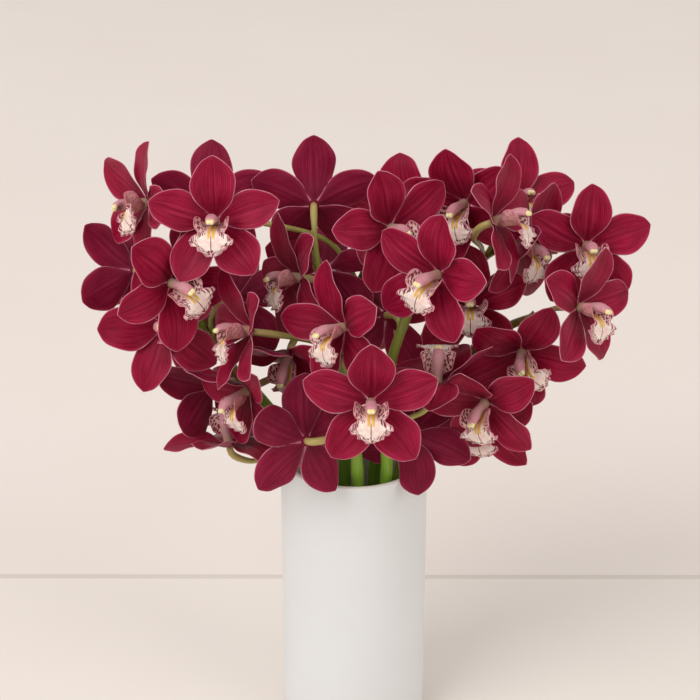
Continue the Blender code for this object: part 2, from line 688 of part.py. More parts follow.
def lip_pieces(name, group, sunk=0.0):
    """Column and lip, seated in front of the heart or sunk into it."""
    back = np.array([0.0, 0.0, -sunk])
    points, radii = column_path(4)
    column = rod(name + "_column", points + back, radii, 1, group)

    def rule(t, u):
        return lip_points(t, u) + back

    lip = sheet(name + "_blade", rule, LIP_ALONG, LIP_ACROSS, LIP_THICK, group)
    return [column, lip]


def rounded(centre_x, centre_z, radius, first, last, count):
    """Points of an arc in a turned profile; angles in degrees."""
    angles = np.radians(np.linspace(first, last, count))
    return [(centre_x + radius * math.cos(a), centre_z + radius * math.sin(a)) for a in angles]


def turned_profile(name, profile, closed_ring, steps, group):
    """A round body: a profile turned about the upright axis."""
    edges = [(k, k + 1) for k in range(len(profile) - 1)]
    if closed_ring:
        edges = [edge for edge in edges if profile[edge[0]] != (0.0, 0.0)]
        edges.append((len(profile) - 1, 0))
    mesh = bpy.data.meshes.new(name)
    mesh.from_pydata([(x * MM, 0.0, z * MM) for x, z in profile], edges, [])
    obj = new_object(name, mesh, group)
    screw = obj.modifiers.new("turn", "SCREW")
    screw.steps = steps
    screw.render_steps = steps
    screw.use_merge_vertices = True
    screw.merge_threshold = 0.00005
    return obj


def vase(group, paint):
    """Rim, outer side, foot and underside; then the floor and the inner side back up."""
    inner = VASE_RADIUS - VASE_WALL
    profile = rounded(VASE_RADIUS - RIM_ROUND, VASE_HEIGHT - RIM_ROUND, RIM_ROUND, 180, 0, 4)
    profile += rounded(VASE_RADIUS - FOOT_ROUND, FOOT_ROUND, FOOT_ROUND, 0, -90, 4)
    profile += [(0.0, 0.0), (0.0, VASE_FLOOR)]
    profile += rounded(inner - INNER_ROUND, VASE_FLOOR + INNER_ROUND, INNER_ROUND, -90, 0, 3)
    obj = turned_profile("vase", profile, True, VASE_STEPS, group)
    obj.data.materials.append(paint)
    return obj


def water(arrangement, group, tools, paint):
    """Water round the stems, with a plain hole for each."""
    inner = VASE_RADIUS - VASE_WALL - WATER_GAP
    low = VASE_FLOOR + GAP
    profile = [(0.0, WATER_LEVEL), (inner, WATER_LEVEL)]
    profile += rounded(inner - INNER_ROUND, low + INNER_ROUND, INNER_ROUND, 0, -90, 3)
    profile += [(0.0, low)]
    obj = turned_profile("water", profile, False, WATER_STEPS, group)
    for name, path in arrangement.paths.items():
        inside = path[:, 2] < VASE_HEIGHT
        points = path[inside].copy()
        points[0] = points[0] + unit(points[0] - points[1]) * HOLE_BELOW
        radii = arrangement.radii[name][inside] + HOLE_ROOM
        cutter = rod("hole_" + name, points, radii, 1, tools)
        cutter.hide_render = True
        cutter.display_type = "WIRE"
        cut = obj.modifiers.new("hole_" + name, "BOOLEAN")
        cut.operation = "DIFFERENCE"
        cut.object = cutter
        cut.solver = "EXACT"
    obj.data.materials.append(paint)
    return obj


def stems(arrangement, group, paint):
    """Each stem with the stalks of its blooms, in one body."""
    for name, path in arrangement.paths.items():
        pieces = [rod("stem_" + name + "_axis", path, arrangement.radii[name], 1, group)]
        for k, row in enumerate(arrangement.rows):
            if row[1] == name:
                face = arrangement.axes[k][:, 2]
                line = stalk_path(path, arrangement.centres[k], face, arrangement.bows[k])
                radii = [STALK_RADIUS] * (len(line) - 2) + [OVARY_RADIUS] * 2
                pieces.append(rod("stalk_" + row[0], line, radii, 1, group))
        stem = fused("stem_" + name, pieces, group)
        stem.data.materials.append(paint)


def shade(group):
    for obj in group.objects:
        obj.data.shade_smooth()
        obj.data.set_sharp_from_angle(angle=math.radians(50))


def main():
    clear_scene()
    parts = new_collection("cymbidium_stems")
    tools = new_collection("cutters")
    burgundy = material("burgundy_tepal", (0.27, 0.008, 0.035), 0.45)
    blush = material("blush_lip", (0.72, 0.45, 0.42), 0.5)
    green = material("green_stem", (0.2, 0.36, 0.05), 0.5)
    ceramic = material("white_ceramic", (0.78, 0.75, 0.71), 0.4)
    clear = material("water", (0.75, 0.8, 0.8), 0.05)
    arrangement = Arrangement()
    arrangement.relax()
    print("crowded pairs left", len(arrangement.left_over), "worst", arrangement.left_over.max(initial=0.0))
    for k, row in enumerate(arrangement.rows):
        name = row[0]
        place = (arrangement.axes[k], arrangement.centres[k])
        shapes, swings = arrangement.shapes[k], arrangement.swings[k]
        if row[8]:
            pieces = [star(name + "_star", shapes, swings, parts)] + lip_pieces(name, parts, LIP_SUNK)
            tepals = fused(name + "_bloom", pieces, parts)
        else:
            tepals = star(name + "_tepals", shapes, swings, parts)
            lip = fused(name + "_lip", lip_pieces(name, parts), parts)
            lip.data.materials.append(blush)
            placed(lip, *place)
        tepals.data.materials.append(burgundy)
        placed(tepals, *place)
    stems(arrangement, parts, green)
    vase(parts, ceramic)
    water(arrangement, parts, tools, clear)
    shade(parts)
    graph = bpy.context.evaluated_depsgraph_get()
    counts = {obj.name: len(obj.evaluated_get(graph).data.loop_triangles) for obj in parts.objects}
    print("triangles", sum(counts.values()), "in", len(counts), "nodes")


main()
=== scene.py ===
# %% [markdown]
# A bunch of burgundy cymbidium orchids in a plain white vase. The measured model comes first, as a fixed
# frame: every solid in it has its real size and place, and everything made below is laid over those solids
# in the same metres.

# %% The measured frame
import math
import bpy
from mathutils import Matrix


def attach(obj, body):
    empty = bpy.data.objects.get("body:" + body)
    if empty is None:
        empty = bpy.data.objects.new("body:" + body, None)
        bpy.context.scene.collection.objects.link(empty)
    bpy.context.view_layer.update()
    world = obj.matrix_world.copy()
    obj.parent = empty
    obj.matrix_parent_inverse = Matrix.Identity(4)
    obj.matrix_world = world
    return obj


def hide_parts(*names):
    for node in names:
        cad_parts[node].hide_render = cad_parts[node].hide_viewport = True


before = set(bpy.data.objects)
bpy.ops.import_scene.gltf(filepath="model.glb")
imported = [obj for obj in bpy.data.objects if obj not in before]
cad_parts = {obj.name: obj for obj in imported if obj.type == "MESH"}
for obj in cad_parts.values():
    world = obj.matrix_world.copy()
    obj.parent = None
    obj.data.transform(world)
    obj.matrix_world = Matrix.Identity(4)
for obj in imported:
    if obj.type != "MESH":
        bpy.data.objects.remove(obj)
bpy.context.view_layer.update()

from types import SimpleNamespace

import bpy
import numpy as np
from mathutils import Matrix, Vector

MM = 0.001
print("solids in the frame:", len(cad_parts))

# %% [markdown]
# The camera looks down at the vase's rim, because the rim shows as an ellipse half as high as it is
# wide. The ratio of the ellipse's two axes gives a tilt of 29 degrees there, and how much the vase
# narrows towards its foot gives a distance of 1.65 m. The camera's own aim is 83 mm above the rim,
# so the picture's middle is among the blooms.

# %% Camera
AIM_RIGHT, AIM_UP = -3.3, 83.0
VASE_HEIGHT = 250.0
FIELD_OF_VIEW = 19.7
VIEW_TILT = math.radians(29.0)
EYE_DISTANCE = 1650.0
RIM_CENTRE = np.array([0.0, 0.0, VASE_HEIGHT])
VIEW_RIGHT = np.array([1.0, 0.0, 0.0])
VIEW_UP = np.array([0.0, math.sin(VIEW_TILT), math.cos(VIEW_TILT)])
VIEW_TOWARD = np.array([0.0, -math.cos(VIEW_TILT), math.sin(VIEW_TILT)])
camera = bpy.data.objects.new("camera", bpy.data.cameras.new("camera"))
bpy.context.scene.collection.objects.link(camera)
bpy.context.scene.camera = camera
eye = Vector((RIM_CENTRE + VIEW_TOWARD * EYE_DISTANCE) * MM)
aim = Vector((RIM_CENTRE + VIEW_RIGHT * AIM_RIGHT + VIEW_UP * AIM_UP) * MM)
camera.matrix_world = Matrix.Translation(eye) @ (aim - eye).to_track_quat("-Z", "Y").to_matrix().to_4x4()
camera.data.angle = math.radians(FIELD_OF_VIEW)
bpy.context.scene.view_settings.view_transform = "Standard"
print("camera height in mm:", round(eye.z / MM))

# %% [markdown]
# A plant has no flat sides and no two equal blooms, so most shapes below are smooth curves through
# a few measured values. This helper is a cubic curve through such values: the value rises and falls
# without corners, and it is what gives the lip its outline and a stem its bend.

# %% Smooth curves
def eased(stations, values, t):
    """Smooth curve through values given at stations."""
    s = np.asarray(stations, float)
    v = np.asarray(values, float)
    slope = np.gradient(v, s, axis=0)
    t = np.asarray(t, float)
    k = np.clip(np.searchsorted(s, t, side="right") - 1, 0, len(s) - 2)
    h = s[k + 1] - s[k]
    f = (t - s[k]) / h
    if v.ndim > 1:
        h = h[..., None]
        f = f[..., None]
    near = v[k] * (1 + 2 * f) * (1 - f) ** 2 + h * slope[k] * f * (1 - f) ** 2
    far = v[k + 1] * f ** 2 * (3 - 2 * f) + h * slope[k + 1] * f ** 2 * (f - 1)
    return near + far


def smooth_path(points, count):
    """`count` points along a smooth curve through the given points."""
    points = np.asarray(points, float)
    steps = np.linalg.norm(np.diff(points, axis=0), axis=1)
    along = np.concatenate([[0.0], np.cumsum(steps)])
    return eased(along, points, np.linspace(0.0, along[-1], count))


def unit(v):
    """The arrow of length one along v."""
    return v / np.linalg.norm(v)


print("half way between 0 and 10:", float(eased([0, 1], [0, 10], 0.5)))

# %% [markdown]
# Where each bloom sits. The table has one line for each bloom: how far to the right of the vase's
# middle it is seen, how far above the rim, how deep behind the vase's axis it is, and which way it
# faces, in millimetres and degrees. These are the measured solids' own values.

# %% The blooms' places
# Blooms: name, stem, across and up as seen from the front, depth behind the vase's axis,
# turn to the right, tip upward, roll, and whether lip and tepals are one body
BLOOMS = [
    ("b01", "left", -170, 204, 5, -62, -8, 40, False),
    ("b02", "left", -115, 188, -40, -4, -2, 0, False),
    ("b03", "left", -149, 138, -55, 35, -15, 50, False),
    ("b04", "left", -154, 102, -20, -10, -5, 90, False),
    ("b05", "front_left", -44, 142, -25, -65, 0, 10, False),
    ("b06", "front_left", -84, 97, -60, -70, 5, 5, False),
    ("b07", "front_left", -52, 81, -30, -30, -60, 0, True),
    ("b08", "front_left", -33, 201, 30, 180, 30, 0, True),
    ("b09", "front_right", 30, 183, -30, 25, -10, 25, False),
    ("b10", "front_right", 69, 145, -80, -35, -15, -26, False),
    ("b11", "front_right", 92, 200, 0, -30, -20, 0, False),
    ("b12", "right_back", 115, 189, -40, 65, 15, 0, False),
    ("b13", "right_back", 136, 173, 5, 50, -25, 0, False),
    ("b14", "right_back", 187, 171, 5, 5, -10, 0, False),
    ("b15", "right", 184, 118, -35, 47, -5, 0, False),
    ("b16", "right", 136, 80, -30, -10, -35, 42, False),
    ("b17", "front_right", 70, 56, -55, 0, 65, 180, False),
    ("b18", "right", 98, 120, 5, -5, 0, 0, True),
    ("b19", "front_right", 14, 40, -110, 0, -10, 0, False),
    ("b21", "front_left", -8, 101, -80, -50, -10, 0, False),
    ("b22", "left", -100, 9, -30, -20, 65, 180, True),
    ("b23", "right", 103, 42, -50, -35, -35, 0, False),
    ("b24", "back", -118, 200, 35, 180, 30, 0, True),
    ("b25", "left", -180, 148, 20, -150, 0, 20, True),
    ("b26", "left", -116, 50, 5, -130, -20, 0, True),
    ("b27", "back", 42, 192, 45, -20, 10, 0, True),
    ("b28", "right_back", 134, 197, 40, 20, 20, 0, True),
    ("b29", "front_left", -40, 9, -80, -150, 10, 0, True),
    ("b30", "right", 108, 30, -15, -25, -35, 0, True),
    ("b31", "front_right", 48, 16, -35, 150, 0, 38, True),
    ("b32", "left", -98, 124, 10, 165, 0, 0, True),
    ("b33", "front_right", 26, 112, 30, -165, 0, 0, True),
    ("b34", "front_left", -85, 50, -45, -60, -30, 0, True),
    ("b35", "front_left", -14, 150, 30, 165, 10, 0, True),
]


def seen_at(across, up, behind):
    """World point that is seen there from the front, at a depth behind the vase's axis."""
    eye = RIM_CENTRE + VIEW_TOWARD * EYE_DISTANCE
    ray = RIM_CENTRE + VIEW_RIGHT * across + VIEW_UP * up - eye
    return eye + ray * (behind - eye[1]) / ray[1]


def bloom_axes(turn, tip, roll):
    """Columns: the bloom's right, its top and the way it faces."""
    a, b, c = (math.radians(value) for value in (turn, tip, roll))
    face = VIEW_RIGHT * math.sin(a) * math.cos(b) + VIEW_UP * math.sin(b)
    face = face + VIEW_TOWARD * math.cos(a) * math.cos(b)
    top = -VIEW_RIGHT * math.sin(a) * math.sin(b) + VIEW_UP * math.cos(b)
    top = top - VIEW_TOWARD * math.cos(a) * math.sin(b)
    side = np.cross(top, face)
    rolled_top = top * math.cos(c) - side * math.sin(c)
    rolled_side = side * math.cos(c) + top * math.sin(c)
    return np.column_stack([rolled_side, rolled_top, face])


print("blooms:", len(BLOOMS))

# %% [markdown]
# A cymbidium has three sepals and two petals, much alike, and together they are called tepals. Each
# kind has a direction, a length, a width, a rise from the heart and a curl back towards the tip. A
# seeded random draw makes every tepal a little different from its kind, the same each time.

# %% Tepals: their kinds and the small differences between them
GAP = 0.3
TEPAL_THICK = 0.9
HEART_RADIUS = 4.6
ROOT_RADIUS = 4.2
HEART_FRONT = TEPAL_THICK / 2
HEART_BACK = TEPAL_THICK / 2
WIDEST_OUT = 1.15
ROUNDNESS = 0.72
ROOT_PINCH = 0.65
SEED = 29
# Tepal kinds: direction round the bloom, length, width, rise at the root, curl to the tip, cup
TEPAL_KINDS = [
    ("petal_right", 20.0, 50.0, 31.0, 30.0, -36.0, 0.14),
    ("dorsal", 90.0, 50.0, 35.0, 34.0, -26.0, 0.20),
    ("petal_left", 160.0, 50.0, 31.0, 30.0, -36.0, 0.14),
    ("side_left", 232.0, 48.0, 33.0, 20.0, -28.0, 0.16),
    ("side_right", 308.0, 48.0, 33.0, 20.0, -28.0, 0.16),
]


def tepal_shapes(index):
    """The five tepals of one bloom, each a little different from its kind."""
    rng = np.random.default_rng(SEED + index)
    shapes = []
    for _, direction, length, width, rise, curl, cup in TEPAL_KINDS:
        vary = rng.uniform(-1.0, 1.0, 6)
        shapes.append({
            "direction": math.radians(direction + 3.0 * vary[0]),
            "length": length * (1 + 0.04 * vary[1]),
            "width": width * (1 + 0.06 * vary[2]),
            "rise": math.radians(rise + 5.0 * vary[3]),
            "curl": math.radians(curl + 12.0 * vary[4]),
            "twist": math.radians(10.0 * vary[5]),
            "cup": cup,
            "size": 1.0,
        })
    return shapes


def tepal_points(shape, swing, t, u):
    """Middle surface of a tepal: x out from the centre, y across, z forward.

    swing bends the blade sideways, forward and round its own length, growing from the root.
    """
    fine = np.linspace(0.0, 1.0, 41)
    grown = 1 - (1 - fine) ** 3
    yaw = swing[0] * grown
    lean = shape["rise"] + shape["curl"] * fine + swing[1] * grown
    steps = np.stack([np.cos(lean) * np.cos(yaw), np.cos(lean) * np.sin(yaw), np.sin(lean)])
    steps = (steps[:, 1:] + steps[:, :-1]) / 2 * shape["length"] * shape["size"] / (len(fine) - 1)
    line = np.concatenate([np.zeros((3, 1)), np.cumsum(steps, axis=1)], axis=1)
    middle = np.stack([np.interp(t, fine, coordinate) for coordinate in line], axis=-1)
    yaw = np.interp(t, fine, yaw)
    lean = np.interp(t, fine, lean)
    s = ((0.04 + t) / 1.04) ** WIDEST_OUT
    half = 0.5 * shape["width"] * shape["size"] * np.clip(4 * s * (1 - s), 0.0, 1.0) ** ROUNDNESS
    half = half * (1 - ROOT_PINCH * (1 - t) ** 4)
    lift = shape["cup"] * half * u ** 2
    spin = shape["twist"] * t + swing[2] * (1 - (1 - t) ** 3)
    across = half * u * np.cos(spin) - lift * np.sin(spin)
    height = half * u * np.sin(spin) + lift * np.cos(spin)
    side = np.stack([-np.sin(yaw), np.cos(yaw), 0 * yaw], axis=-1)
    front = np.stack([-np.sin(lean) * np.cos(yaw), -np.sin(lean) * np.sin(yaw), np.cos(lean)], axis=-1)
    points = middle + across[..., None] * side + height[..., None] * front
    return points + [ROOT_RADIUS, 0.0, 0.0]


def outward(shape):
    """Axes of a tepal in the bloom's frame: out along it, across it and forward."""
    a = shape["direction"]
    return np.array([[math.cos(a), -math.sin(a), 0], [math.sin(a), math.cos(a), 0], [0, 0, 1]])


print("first tepal, mm:", round(tepal_shapes(0)[0]["length"], 1))

# %% [markdown]
# The lip is the odd petal, turned into a landing place for bees. Its sides stand up round the
# column, its front folds down and back. One rule gives the point of its middle surface for any
# place along it and across it: a bent line, and a fold that opens and closes along that line.
# The column is the rod above it, which holds the pollen under a hood.

# %% Lip and column: their rules
LIP_LENGTH = 41.0
FLATTEST = 0.01
LIP_ROOT_LOW = 0.6
LIP_ROOT_OUT = 0.7
COLUMN_LENGTH = 27.0
COLUMN_HIGH = 0.3


def lip_points(t, u):
    """Middle surface of the lip: x right, y up, z forward."""
    fine = np.linspace(0.0, 1.0, 81)
    stations = [0.0, 0.12, 0.35, 0.6, 0.8, 1.0]
    bend = np.radians(eased(stations, [55.0, 30.0, 12.0, 60.0, 105.0, 124.0], fine))
    step = LIP_LENGTH / (len(fine) - 1)
    down = np.concatenate([[0.0], np.cumsum(np.sin((bend[1:] + bend[:-1]) / 2)) * step])
    ahead = np.concatenate([[0.0], np.cumsum(np.cos((bend[1:] + bend[:-1]) / 2)) * step])
    angle = np.interp(t, fine, bend)
    low = -LIP_ROOT_LOW - np.interp(t, fine, down)
    front = HEART_FRONT + GAP + LIP_ROOT_OUT + np.interp(t, fine, ahead)
    stations = [0.0, 0.1, 0.25, 0.45, 0.6, 0.78, 1.0]
    half = eased(stations, [1.8, 4.0, 14.0, 17.0, 12.5, 14.0, 4.0], t)
    fold = np.radians(eased(stations, [20.0, 40.0, 78.0, 70.0, 26.0, -8.0, -16.0], t))
    fold = np.where(np.abs(fold) < FLATTEST, FLATTEST, fold)
    x = half / fold * np.sin(fold * u)
    lift = half / fold * (1 - np.cos(fold * u))
    return np.stack([x, low + lift * np.cos(angle), front + lift * np.sin(angle)], axis=-1)


def column_path(count):
    """Centre line and radii of the column, from its foot to its hood."""
    t = np.linspace(0.0, 1.0, count)
    angle = np.radians(eased([0.0, 0.35, 1.0], [0.0, 5.0, -42.0], t))
    step = COLUMN_LENGTH / (count - 1)
    mean = (angle[1:] + angle[:-1]) / 2
    mean[0] = 0.0
    up = np.concatenate([[0.0], np.cumsum(np.sin(mean)) * step])
    ahead = np.concatenate([[0.0], np.cumsum(np.cos(mean)) * step])
    points = np.stack([np.zeros(count), COLUMN_HIGH + up, HEART_FRONT + GAP + ahead], axis=-1)
    radii = eased([0.0, 0.4, 0.8, 1.0], [4.0, 3.7, 4.6, 4.0], t)
    return points, radii


print("lip tip, mm:", lip_points(np.array([1.0]), np.array([0.0])).round(1)[0])

# %% [markdown]
# Six cut stems stand on the vase's floor, lean out through its mouth and fan out. Each bloom hangs
# on a short stalk, which leaves the stem upwards and turns into the back of the bloom. The stem
# lines are curves through points that were read from the picture.

# %% Stems and stalks: their lines
VASE_RADIUS, VASE_FLOOR = 60.0, 8.0
STEM_THICK = 5.4
STEM_THIN = 3.0
STALK_RADIUS = 2.2
OVARY_RADIUS = 2.9
STEM_POINTS = 10
STALK_POINTS = 5
STALK_BEHIND = 30.0
OVARY_STRAIGHT = 5.0
STALK_FIRST = 3
RUN_STEPS, FORK_BELOW, LEAVES_ALONG = 8, 4, 0.35
# Stems: foot on the vase's floor and place in its mouth, then points as seen from the front
STEMS = {
    "left": ((-20, 2), (-42, -8), [(-75, 42, -15), (-114, 87, 5), (-136, 132, 20), (-141, 177, 25)]),
    "front_left": ((-4, -14), (3, -43), [(-7, 58, -50), (-24, 116, -20), (-32, 165, 10)]),
    "front_right": ((14, -14), (26, -38), [(34, 87, -40), (50, 132, -20), (58, 177, 5)]),
    "back": ((-6, 18), (-8, 26), [(-7, 99, 45), (9, 148, 50), (30, 185, 45)]),
    "right": ((20, 4), (44, 2), [(71, 42, 0), (107, 87, 5), (136, 109, -5), (161, 115, -12)]),
    "right_back": ((10, 20), (22, 28), [(62, 99, 35), (103, 153, 30), (144, 177, 20), (167, 165, 15)]),
}


def stem_path(name):
    """Centre line of a stem from its cut foot on the vase's floor to its top."""
    foot, mouth, seen = STEMS[name]
    low = np.array([foot[0], foot[1], VASE_FLOOR])
    high = np.array([mouth[0], mouth[1], VASE_HEIGHT])
    slope = unit(high - low)
    low[2] += GAP + STEM_THICK * math.sqrt(1 - slope[2] ** 2)
    points = [low, low + (high - low) * 0.5, high]
    points.extend(seen_at(*place) for place in seen)
    return smooth_path(points, STEM_POINTS)


def stalk_path(path, centre, face, bow):
    """Centre line of a bloom's stalk, from inside the stem to the back of the bloom."""
    seat = centre - face * (HEART_BACK + GAP)
    end = seat - face * OVARY_STRAIGHT
    behind = seat - face * STALK_BEHIND + bow
    runs = range(STALK_FIRST, len(path) - 1)
    pieces = [np.linspace(path[k], path[k + 1], RUN_STEPS + 1)[:-1] for k in runs]
    fine = np.concatenate(pieces + [path[-1:]])
    nearest = int(np.argmin(np.linalg.norm(fine - behind, axis=1)))
    k = max(nearest - FORK_BELOW, 0)
    root = fine[k]
    grow = unit(fine[min(k + 1, len(fine) - 1)] - fine[min(k, len(fine) - 2)])
    leave = root + grow * LEAVES_ALONG * np.linalg.norm(behind - root)
    f = np.linspace(0.0, 1.0, STALK_POINTS - 1)[:, None]
    curve = root * (1 - f) ** 3 + 3 * leave * f * (1 - f) ** 2 + 3 * behind * f ** 2 * (1 - f) + end * f ** 3
    return np.concatenate([curve, [seat]])


def stem_radii(count):
    """A stem's radius at even steps, thinner towards its top."""
    thickness = [STEM_THICK, STEM_THICK * 0.92, STEM_THIN]
    return np.interp(np.linspace(0.0, 1.0, count), [0.0, 0.55, 1.0], thickness)


print("stems:", len(STEMS))

# %% [markdown]
# Blooms in a bunch press against each other and give way. To work out how, each tepal, lip, stalk
# and stretch of stem is taken as a small cloud of 24 points. Clouds are cheap to compare: two of
# them are apart when some direction separates all the points of one from all those of the other.

# %% The bunch as it is read from the picture, before anything gives way
TEPAL_ALONG = [0.0, 0.2, 0.5, 0.8, 1.0]
TEPAL_ACROSS = [-1.0, 0.0, 1.0]
CLOUD = 24
HULL_SPARE = 1.035
axes = [bloom_axes(*row[5:8]) for row in BLOOMS]
home = np.array([seen_at(*row[2:5]) for row in BLOOMS])
centres = home.copy()
shapes = [tepal_shapes(k) for k in range(len(BLOOMS))]
swings = np.zeros((len(BLOOMS), 5, 3))
bows = np.zeros((len(BLOOMS), 3))
paths = {name: stem_path(name) for name in STEMS}
radii = {name: stem_radii(len(path)) for name, path in paths.items()}
print("bunch is", round(np.ptp(home[:, 0])), "mm wide between the outer blooms' centres")

# %% Clouds of points
def padded(points):
    """The same points, some twice, so that every cloud has as many."""
    return points[np.arange(CLOUD) % len(points)]


def rod_cloud(a, b, radius_a, radius_b):
    """Points round both ends of a straight rod."""
    axis = unit(b - a)
    side = unit(np.cross(axis, [0.3, 0.9, 0.2] if abs(axis[1]) < 0.8 else [1.0, 0.1, 0.0]))
    other = np.cross(axis, side)
    angles = np.arange(6) * math.pi / 3
    ring = np.cos(angles)[:, None] * side + np.sin(angles)[:, None] * other
    return padded(np.concatenate([a + ring * radius_a, b + ring * radius_b]))


def even_directions(count):
    """Directions spread evenly over a sphere, with their opposites."""
    k = np.arange(count) + 0.5
    z = 1 - 2 * k / count
    spin = k * math.pi * (3 - math.sqrt(5))
    ring = np.sqrt(1 - z ** 2)
    half = np.stack([ring * np.cos(spin), ring * np.sin(spin), z], axis=-1)
    return np.concatenate([half, -half])


def lip_and_column_cloud():
    """A bloom's lip and column in the bloom's own frame; the last point is the column's foot."""
    t, u = np.meshgrid([0.25, 0.45, 0.72, 1.0], [-1.0, 0.0, 1.0], indexing="ij")
    column, column_radii = column_path(3)
    under_hood_shade = []
    for point, radius in zip(column[1:], column_radii[1:]):
        under_hood_shade.extend(point + radius * np.array([[0, 1, 0], [1, 0, 0], [-1, 0, 0]]))
    foot = column[:1] + [0.0, 0.0, 1.0]
    return np.concatenate([lip_points(t, u).reshape(-1, 3), under_hood_shade, foot])


lip_cloud = lip_and_column_cloud()
tepal_grid = [grid.ravel() for grid in np.meshgrid(TEPAL_ALONG, TEPAL_ACROSS, indexing="ij")]


def all_clouds():
    """Every cloud in world millimetres, in the order of the owners below."""
    out = []
    for k, row in enumerate(BLOOMS):
        outer = []
        for number, shape in enumerate(shapes[k]):
            local = tepal_points(shape, swings[k, number], *tepal_grid)
            blade = centres[k] + local @ (axes[k] @ outward(shape)).T
            out.append(padded(blade))
            outer.append(padded(blade[len(TEPAL_ACROSS):]))
        out.extend(outer)
        out.append(padded(centres[k] + lip_cloud @ axes[k].T))
        out.append(padded(centres[k] + lip_cloud[:-1] @ axes[k].T))
        path = stalk_path(paths[row[1]], centres[k], axes[k][:, 2], bows[k])
        out.append(rod_cloud(centres[k], path[-3], HEART_RADIUS, OVARY_RADIUS))
        for j in range(STALK_POINTS - 2):
            out.append(rod_cloud(path[j], path[j + 1], STALK_RADIUS, STALK_RADIUS))
    for name, path in paths.items():
        for j in range(STALK_FIRST, len(path) - 1):
            out.append(rod_cloud(path[j], path[j + 1], radii[name][j], radii[name][j + 1]))
    angles = np.arange(12) * math.pi / 6
    ring = np.stack([np.cos(angles), np.sin(angles), 0 * angles], axis=-1) * VASE_RADIUS * HULL_SPARE
    out.append(np.concatenate([ring, ring + RIM_CENTRE]))
    return np.array(out)


print("clouds:", len(all_clouds()))

# %% [markdown]
# Not every pair may push. A bloom's own parts grew together, and so did the stalks on one stem. The
# exceptions are a bloom's neighbouring tepals outside their roots, its lip against its tepals, and
# its tepals against its own stalk. Each kind also has a weight: a tepal bends easily and takes most
# of a shove, a stalk takes little, and stems and the vase don't move.

# %% Who owns each cloud, and which pairs may push each other
owners = []
for k, row in enumerate(BLOOMS):
    owners.extend((k, "tepal", number, row[1]) for number in range(5))
    owners.extend((k, "outer", number, row[1]) for number in range(5))
    owners.append((k, "lip", 0, row[1]))
    owners.append((k, "tongue", 0, row[1]))
    owners.append((k, "ovary", 0, row[1]))
    owners.extend((k, "stalk", part, row[1]) for part in range(STALK_POINTS - 2))
for name, path in paths.items():
    owners.extend((-1, "stem", part, name) for part in range(STALK_FIRST, len(path) - 1))
owners.append((-1, "vase", 0, ""))
bloom_of = np.array([owner[0] for owner in owners])
kind_of = np.array([owner[1] for owner in owners])
tepal_of = np.array([owner[2] for owner in owners])
stem_of = np.array([owner[3] for owner in owners])
GIVES = {
    "tepal": 1.0, "outer": 1.0, "lip": 0.35, "tongue": 0.0,
    "ovary": 0.2, "stalk": 0.25, "stem": 0.0, "vase": 0.0}
weight_of = np.array([GIVES[kind] for kind in kind_of])


def both(mask):
    """Pairs in which the first and the second both belong."""
    return mask[:, None] & mask[None, :]


def either(mask, other):
    """Pairs of one from each group."""
    return (mask[:, None] & other[None, :]) | (mask[None, :] & other[:, None])


same_bloom = bloom_of[:, None] == bloom_of[None, :]
inner = np.isin(kind_of, ["outer", "tongue"])
skip = same_bloom & (bloom_of[:, None] >= 0)
skip |= both(bloom_of < 0)
skip |= both(np.isin(kind_of, ["ovary", "stalk", "stem"])) & (stem_of[:, None] == stem_of[None, :])
skip |= either(kind_of == "vase", np.isin(kind_of, ["stalk", "stem"]))
skip |= inner[:, None] | inner[None, :]
beside = both(inner) | ((kind_of[:, None] == "tepal") & (kind_of[None, :] == "stalk"))
family = same_bloom & beside
skip &= ~family
np.fill_diagonal(skip, True)
allowed = np.triu(~skip, 1)
print("pairs that may push:", int(allowed.sum()))

# %% [markdown]
# The room between two clouds is the largest gap over many directions. First 180 even directions are
# tried, then ever smaller changes to the best one. Pairs that are closer than 2 mm push.

# %% Pairs that are too close
ROOM = 2.0
OWN_ROOM = 1.4
NEAR_ENOUGH = 4.0
FINER_CHANGES = (0.16, 0.07, 0.03, 0.012)
FINER_EVERY = 7
directions = even_directions(90)


def crowded(clouds):
    """Pairs of clouds closer than ROOM, the way to part them, and how far apart they are."""
    middle = clouds.mean(axis=1)
    reach = np.linalg.norm(clouds - middle[:, None], axis=2).max(axis=1)
    apart = np.linalg.norm(middle[:, None] - middle[None, :], axis=2)
    first, second = np.nonzero(allowed & (apart < reach[:, None] + reach[None, :] + ROOM))
    spread = clouds @ directions.T
    room = spread.min(axis=1)[first] - spread.max(axis=1)[second]
    best = room.argmax(axis=1)
    way = directions[best]
    space = room[np.arange(len(first)), best]
    keep = space < ROOM + NEAR_ENOUGH
    spare = family[first[keep], second[keep]] * (ROOM - OWN_ROOM)
    first, second, way = first[keep], second[keep], way[keep]
    for change in FINER_CHANGES:
        tries = way[:, None] + change * directions[None, ::FINER_EVERY]
        tries = np.concatenate([way[:, None], tries], axis=1)
        tries /= np.linalg.norm(tries, axis=2, keepdims=True)
        low = np.einsum("pij,pkj->pik", clouds[first], tries).min(axis=1)
        high = np.einsum("pij,pkj->pik", clouds[second], tries).max(axis=1)
        room = low - high
        best = room.argmax(axis=1)
        way = tries[np.arange(len(first)), best]
        space = room[np.arange(len(first)), best]
    space = space + spare
    keep = space < ROOM
    return first[keep], second[keep], way[keep], space[keep]


print("pairs too close at first:", len(crowded(all_clouds())[0]))

# %% [markdown]
# A shove on a tepal works like a shove on a hinged flap: it turns about its root, and further the
# nearer the shove is to the root. Within about 12 mm of the bloom's centre it is stiff and turns
# less. A shove on a lip or on an ovary moves the whole bloom, and a shove on a stalk bows it. A bloom
# moves freely to and from the eye, and half as freely across the picture, where its place was read.

